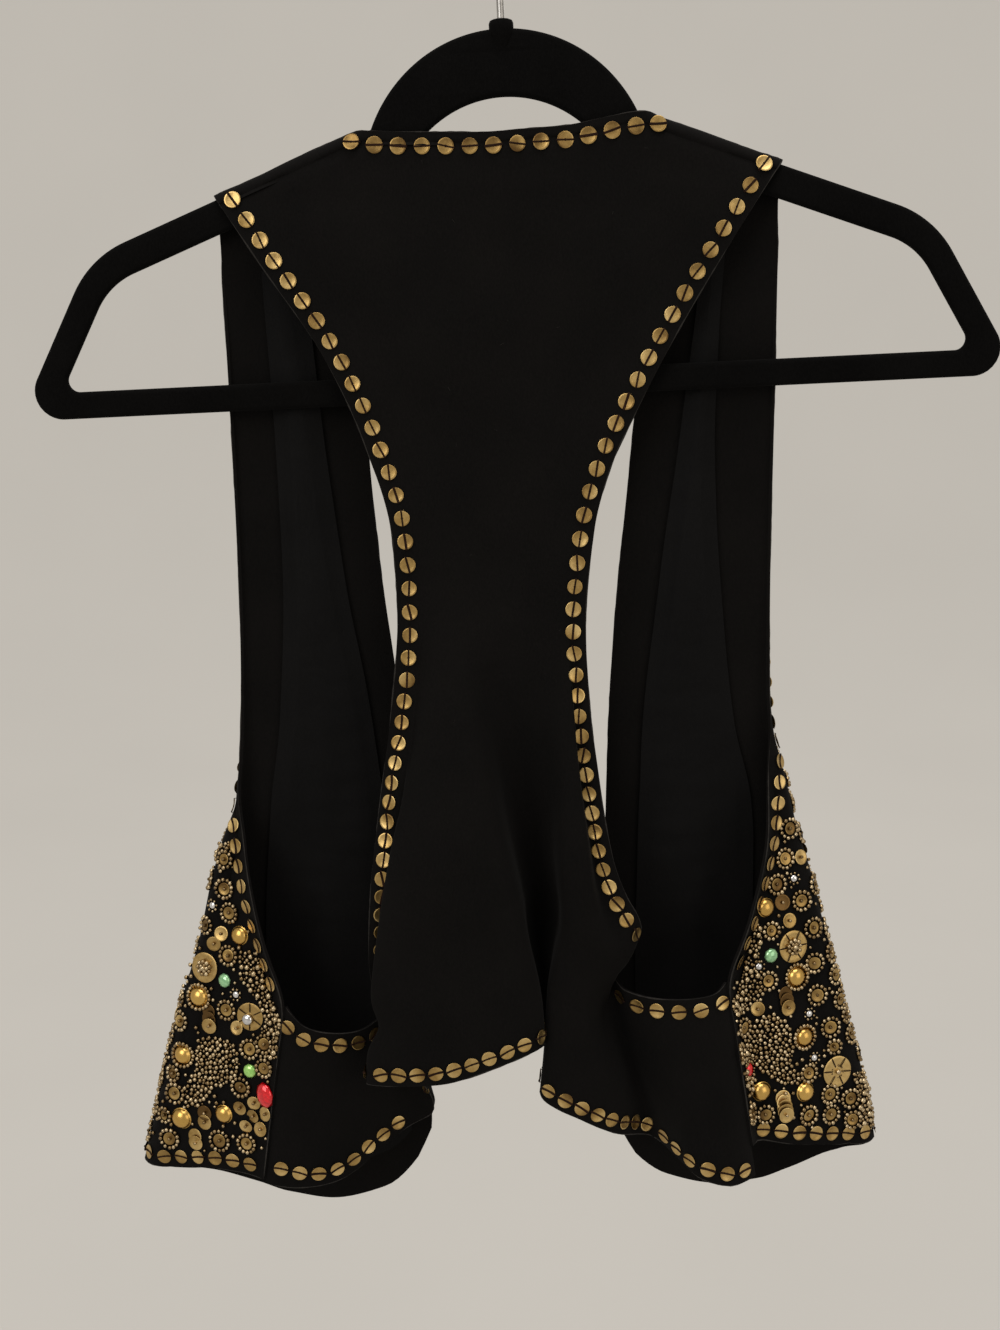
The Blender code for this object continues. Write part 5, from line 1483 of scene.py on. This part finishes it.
back_sequins, back_stitches, back_fray = back_batches = batches_of("back", EDGE_PIECES)
middle_tree = tree_of(middle)
top_across = middle[0, :, 0]
neck_left, neck_right = NECK_EDGE[0][0] - NECK_BEYOND[0], NECK_EDGE[-1][0] + NECK_BEYOND[1]
neck = np.flatnonzero((top_across > neck_left) & (top_across < neck_right))
tuck = len(middle) - len(left_strip)
turn = int(np.argmax(middle[-1, :middle.shape[1] // 4, 0]))
BACK_TRIM = (
    # edge, points beside it, pitch, first and last gap, tones
    # The neck row takes darker tones: painted shade.
    (middle[0, neck], middle[NEXT_ROW, neck], NECK_PITCH, (0.0008, 0.0008), NECK_PAINTED_SHADE_TONES),
    (middle[:tuck, 0], middle[:tuck, NEXT_ROW], ARMHOLE_PITCH, (0.006, 0.003), EDGE_TONES),
    (middle[:tuck, -1], middle[:tuck, -1 - NEXT_ROW], ARMHOLE_PITCH, (0.006, 0.029), EDGE_TONES),
    (middle[-1, turn:], middle[-1 - NEXT_ROW, turn:], HEM_PITCH, (0.01, 0.004), EDGE_TONES),
)
for edge, inner, pitch, gaps, tones in BACK_TRIM:
    sequin_row(edge, inner, middle_tree, BACK_WALL, pitch, gaps, back_batches, SEQUIN_INSET, tones)
for strip, hem_end, seam_inset in ((left_strip, 0.017, LEFT_SEAM_INSET), (right_strip, 0.005, SEQUIN_INSET)):
    tree = tree_of(strip)
    sequin_row(strip[0], strip[NEXT_ROW], tree, BACK_WALL, STRIP_PITCH, (STRIP_GAP, STRIP_GAP), back_batches)
    inset = np.interp(path_lengths(strip, 1)[-1], (0.0, SEAM_INSET_REACH), (seam_inset, SEQUIN_INSET))
    sequin_row(strip[-1], strip[-1 - NEXT_ROW], tree, BACK_WALL, STRIP_HEM_PITCH, (STRIP_GAP, hem_end),
               back_batches, inset)
top, hem = np.s_[0, :], np.s_[-1, :]
for grid, borders in ((middle, (top, np.s_[:tuck, 0], np.s_[:tuck, -1], hem)), (left_strip, (top, hem)),
                      (right_strip, (top, hem, np.s_[:, -1]))):
    outward = -grid_normals(grid, 1.0)
    for border in borders:
        fray(back_fray, grid[border], outward[border], BACK_WALL)
lint = Batch("back_lint", CUT_EDGE, "cloth")
lint_ends = (middle.shape[0] - LINT_FROM_HEM, middle.shape[1] - LINT_FROM_EDGE)
for row, column in random.integers((LINT_FROM_TOP, LINT_FROM_EDGE), lint_ends, (LINT_COUNT, 2)):
    place, normal = nearest(middle_tree, middle[row, column] + random.normal(0, LINT_SHIFT, 3))
    axes = axes_at(normal, random.normal(size=3))
    size = LINT_LENGTH * random.uniform(*LINT_SIZES)
    lint.add(LINT, place + axes[2] * (BACK_WALL / 2), axes, size, PLAIN_TONE)
back_sequins.piece()
back_stitches.piece()
back_fray.piece()
lint.piece()

FRONTS = (
    # side, sections, lining's edge, sign, column of the hem, seam's top, levels over which the trim comes
    # into view, hollow beside the outer border, ornaments and fields that show
    ("left", FRONT_LEFT_SECTIONS, LINING_LEFT_EDGE, -1.0, 1, -0.512, (-0.43, -0.395), LEFT_HOLLOW,
     LEFT_ORNAMENTS, LEFT_FIELDS),
    ("right", FRONT_RIGHT_SECTIONS, LINING_RIGHT_EDGE, 1.0, 2, -0.4985, (-0.4, -0.365), RIGHT_HOLLOW,
     RIGHT_ORNAMENTS, RIGHT_FIELDS),
)
for side, sections, lining_edge, sign, hem_column, seam_top, in_view, hollow, ornaments, fields in FRONTS:
    grid = eased(front_grid(sections, sign, hem_column))
    grid = set_back(creased(grid, grid_normals(grid, sign), FRONT_CREASES), -1, hollow, HOLLOW_WIDTH, True)
    outward = grid_normals(grid, sign)
    flip = sign > 0
    front = sheet_piece("vest_front_" + side, (grid,), FRONT_WALL, (CLOTH, CUT_EDGE), "cloth", flip)
    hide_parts("front_" + side)
    inside = lining_grid(grid, outward, lining_edge)
    inside = creased(inside, -grid_normals(inside, sign), LINING_FOLDS)
    lining = sheet_piece("vest_lining_" + side, (inside,), LINING_WALL, (LINING, CUT_EDGE), "lining", flip)
    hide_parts("lining_" + side)

    tree = tree_of(grid, flip)
    sewing = Sewing(side, tree)
    edge_batches = batches_of("front_" + side, EDGE_PIECES)
    seam_row = int(np.argmin(abs(grid[:, -1, 2] - seam_top)))
    unseen = np.interp(grid[:seam_row, -1, 2], in_view, (SEQUIN_INSET, HIDDEN_INSET))
    front_trim = (
        # edge, points beside it, inset, tones
        (grid[:seam_row, -1], grid[:seam_row, -1 - NEXT_ROW], unseen, ARMHOLE_TONES),
        (grid[-1], grid[-1 - NEXT_ROW], SEQUIN_INSET, EDGE_TONES),
        (grid[:, 0], grid[:, NEXT_ROW], SEQUIN_INSET, EDGE_TONES),
    )
    for edge, inner, inset, tones in front_trim:
        sewing.placed += sequin_row(edge, inner, tree, FRONT_WALL, FRONT_PITCH, (FRONT_GAP, FRONT_GAP),
                                    edge_batches, inset, tones)
    for kind, px, py, width in ornaments:
        place = sewing.on_face(px, py)
        if place is not None:
            sewing.sew(kind, place, width / 1000, True)
    for kind, outline in fields:
        sewing.field(kind, np.array(outline, dtype=float))
    sewing.scatter(grid, seam_top)
    for line in (np.s_[:, -1], np.s_[-1, :], np.s_[:, 0]):
        fray(edge_batches[-1], grid[line], outward[line], FRONT_WALL)
    trim = [batch.piece() for batch in (*edge_batches, *sewing.batches) if batch.total]


def stage_bowl():
    """A pale floor that turns up into a wall all round."""
    corner = [(WALL_RADIUS - WALL_ROUND * (1 - math.sin(a)), FLOOR_LEVEL + WALL_ROUND * (1 - math.cos(a)))
              for a in np.linspace(0, math.pi / 2, STAGE_STEPS)]
    mesh = lathed("pale_floor", [(0, FLOOR_LEVEL), *corner, (WALL_RADIUS, WALL_TOP)], STAGE_SIDES)
    pale = finish("pale_floor", {"Specular IOR Level": 0.05, "Emission Color": (1.0, 0.938, 0.845, 1.0),
                                 "Emission Strength": 0.41})
    colour(pale, noise(pale, 3.0, 4.0), ((0.2, (0.15, 0.146, 0.138)), (0.8, (0.17, 0.165, 0.156))))
    roughen(pale, noise(pale, 40.0), 0.86, 0.95)
    mesh.materials.append(pale)
    floor = linked("pale_floor", mesh)


def area_light(name, place, aim, size, power, tint):
    data = bpy.data.lights.new(name, "AREA")
    data.shape = "RECTANGLE"
    data.size, data.size_y = size
    data.energy = power
    data.color = tint
    lamp = linked(name, data)
    lamp.location = place
    lamp.rotation_euler = (Vector(aim) - Vector(place)).to_track_quat("-Z", "Y").to_euler()


LIGHTS = (
    # name, place, aim, size, power, colour
    ("window", (-1.5, -1.9, 0.9), (0.0, 0.0, -0.35), (1.6, 1.8), 30.0, (1.0, 0.98, 0.95)),
    ("fill", (1.7, -1.6, 0.1), (0.0, 0.0, -0.35), (1.4, 1.6), 9.0, (1.0, 0.94, 0.86)),
    ("top", (0.2, -0.3, 1.6), (0.0, 0.0, -0.3), (1.4, 1.4), 26.0, (1.0, 0.97, 0.93)),
    ("far side", (0.4, 2.2, 0.8), (0.0, 0.0, -0.35), (1.8, 1.8), 14.0, (1.0, 0.97, 0.94)),
)
for light in LIGHTS:
    area_light(*light)
stage_bowl()

world = bpy.data.worlds.new("room")
world.use_nodes = True
room = world.node_tree.nodes["Background"]
room.inputs["Color"].default_value = (1.0, 0.98, 0.95, 1.0)
room.inputs["Strength"].default_value = 0.4
bpy.context.scene.world = world
bpy.context.scene.view_settings.view_transform = "Standard"

view = bpy.data.cameras.new("photo_view")
view.lens = FOCAL_PIXELS / FRAME_HEIGHT * SENSOR
view.sensor_width = SENSOR
view.clip_start = 0.01
camera = linked("photo_view", view)
camera.location = CAMERA_PLACE
camera.rotation_euler = (math.pi / 2 - CAMERA_PITCH, 0.0, 0.0)
bpy.context.scene.camera = camera
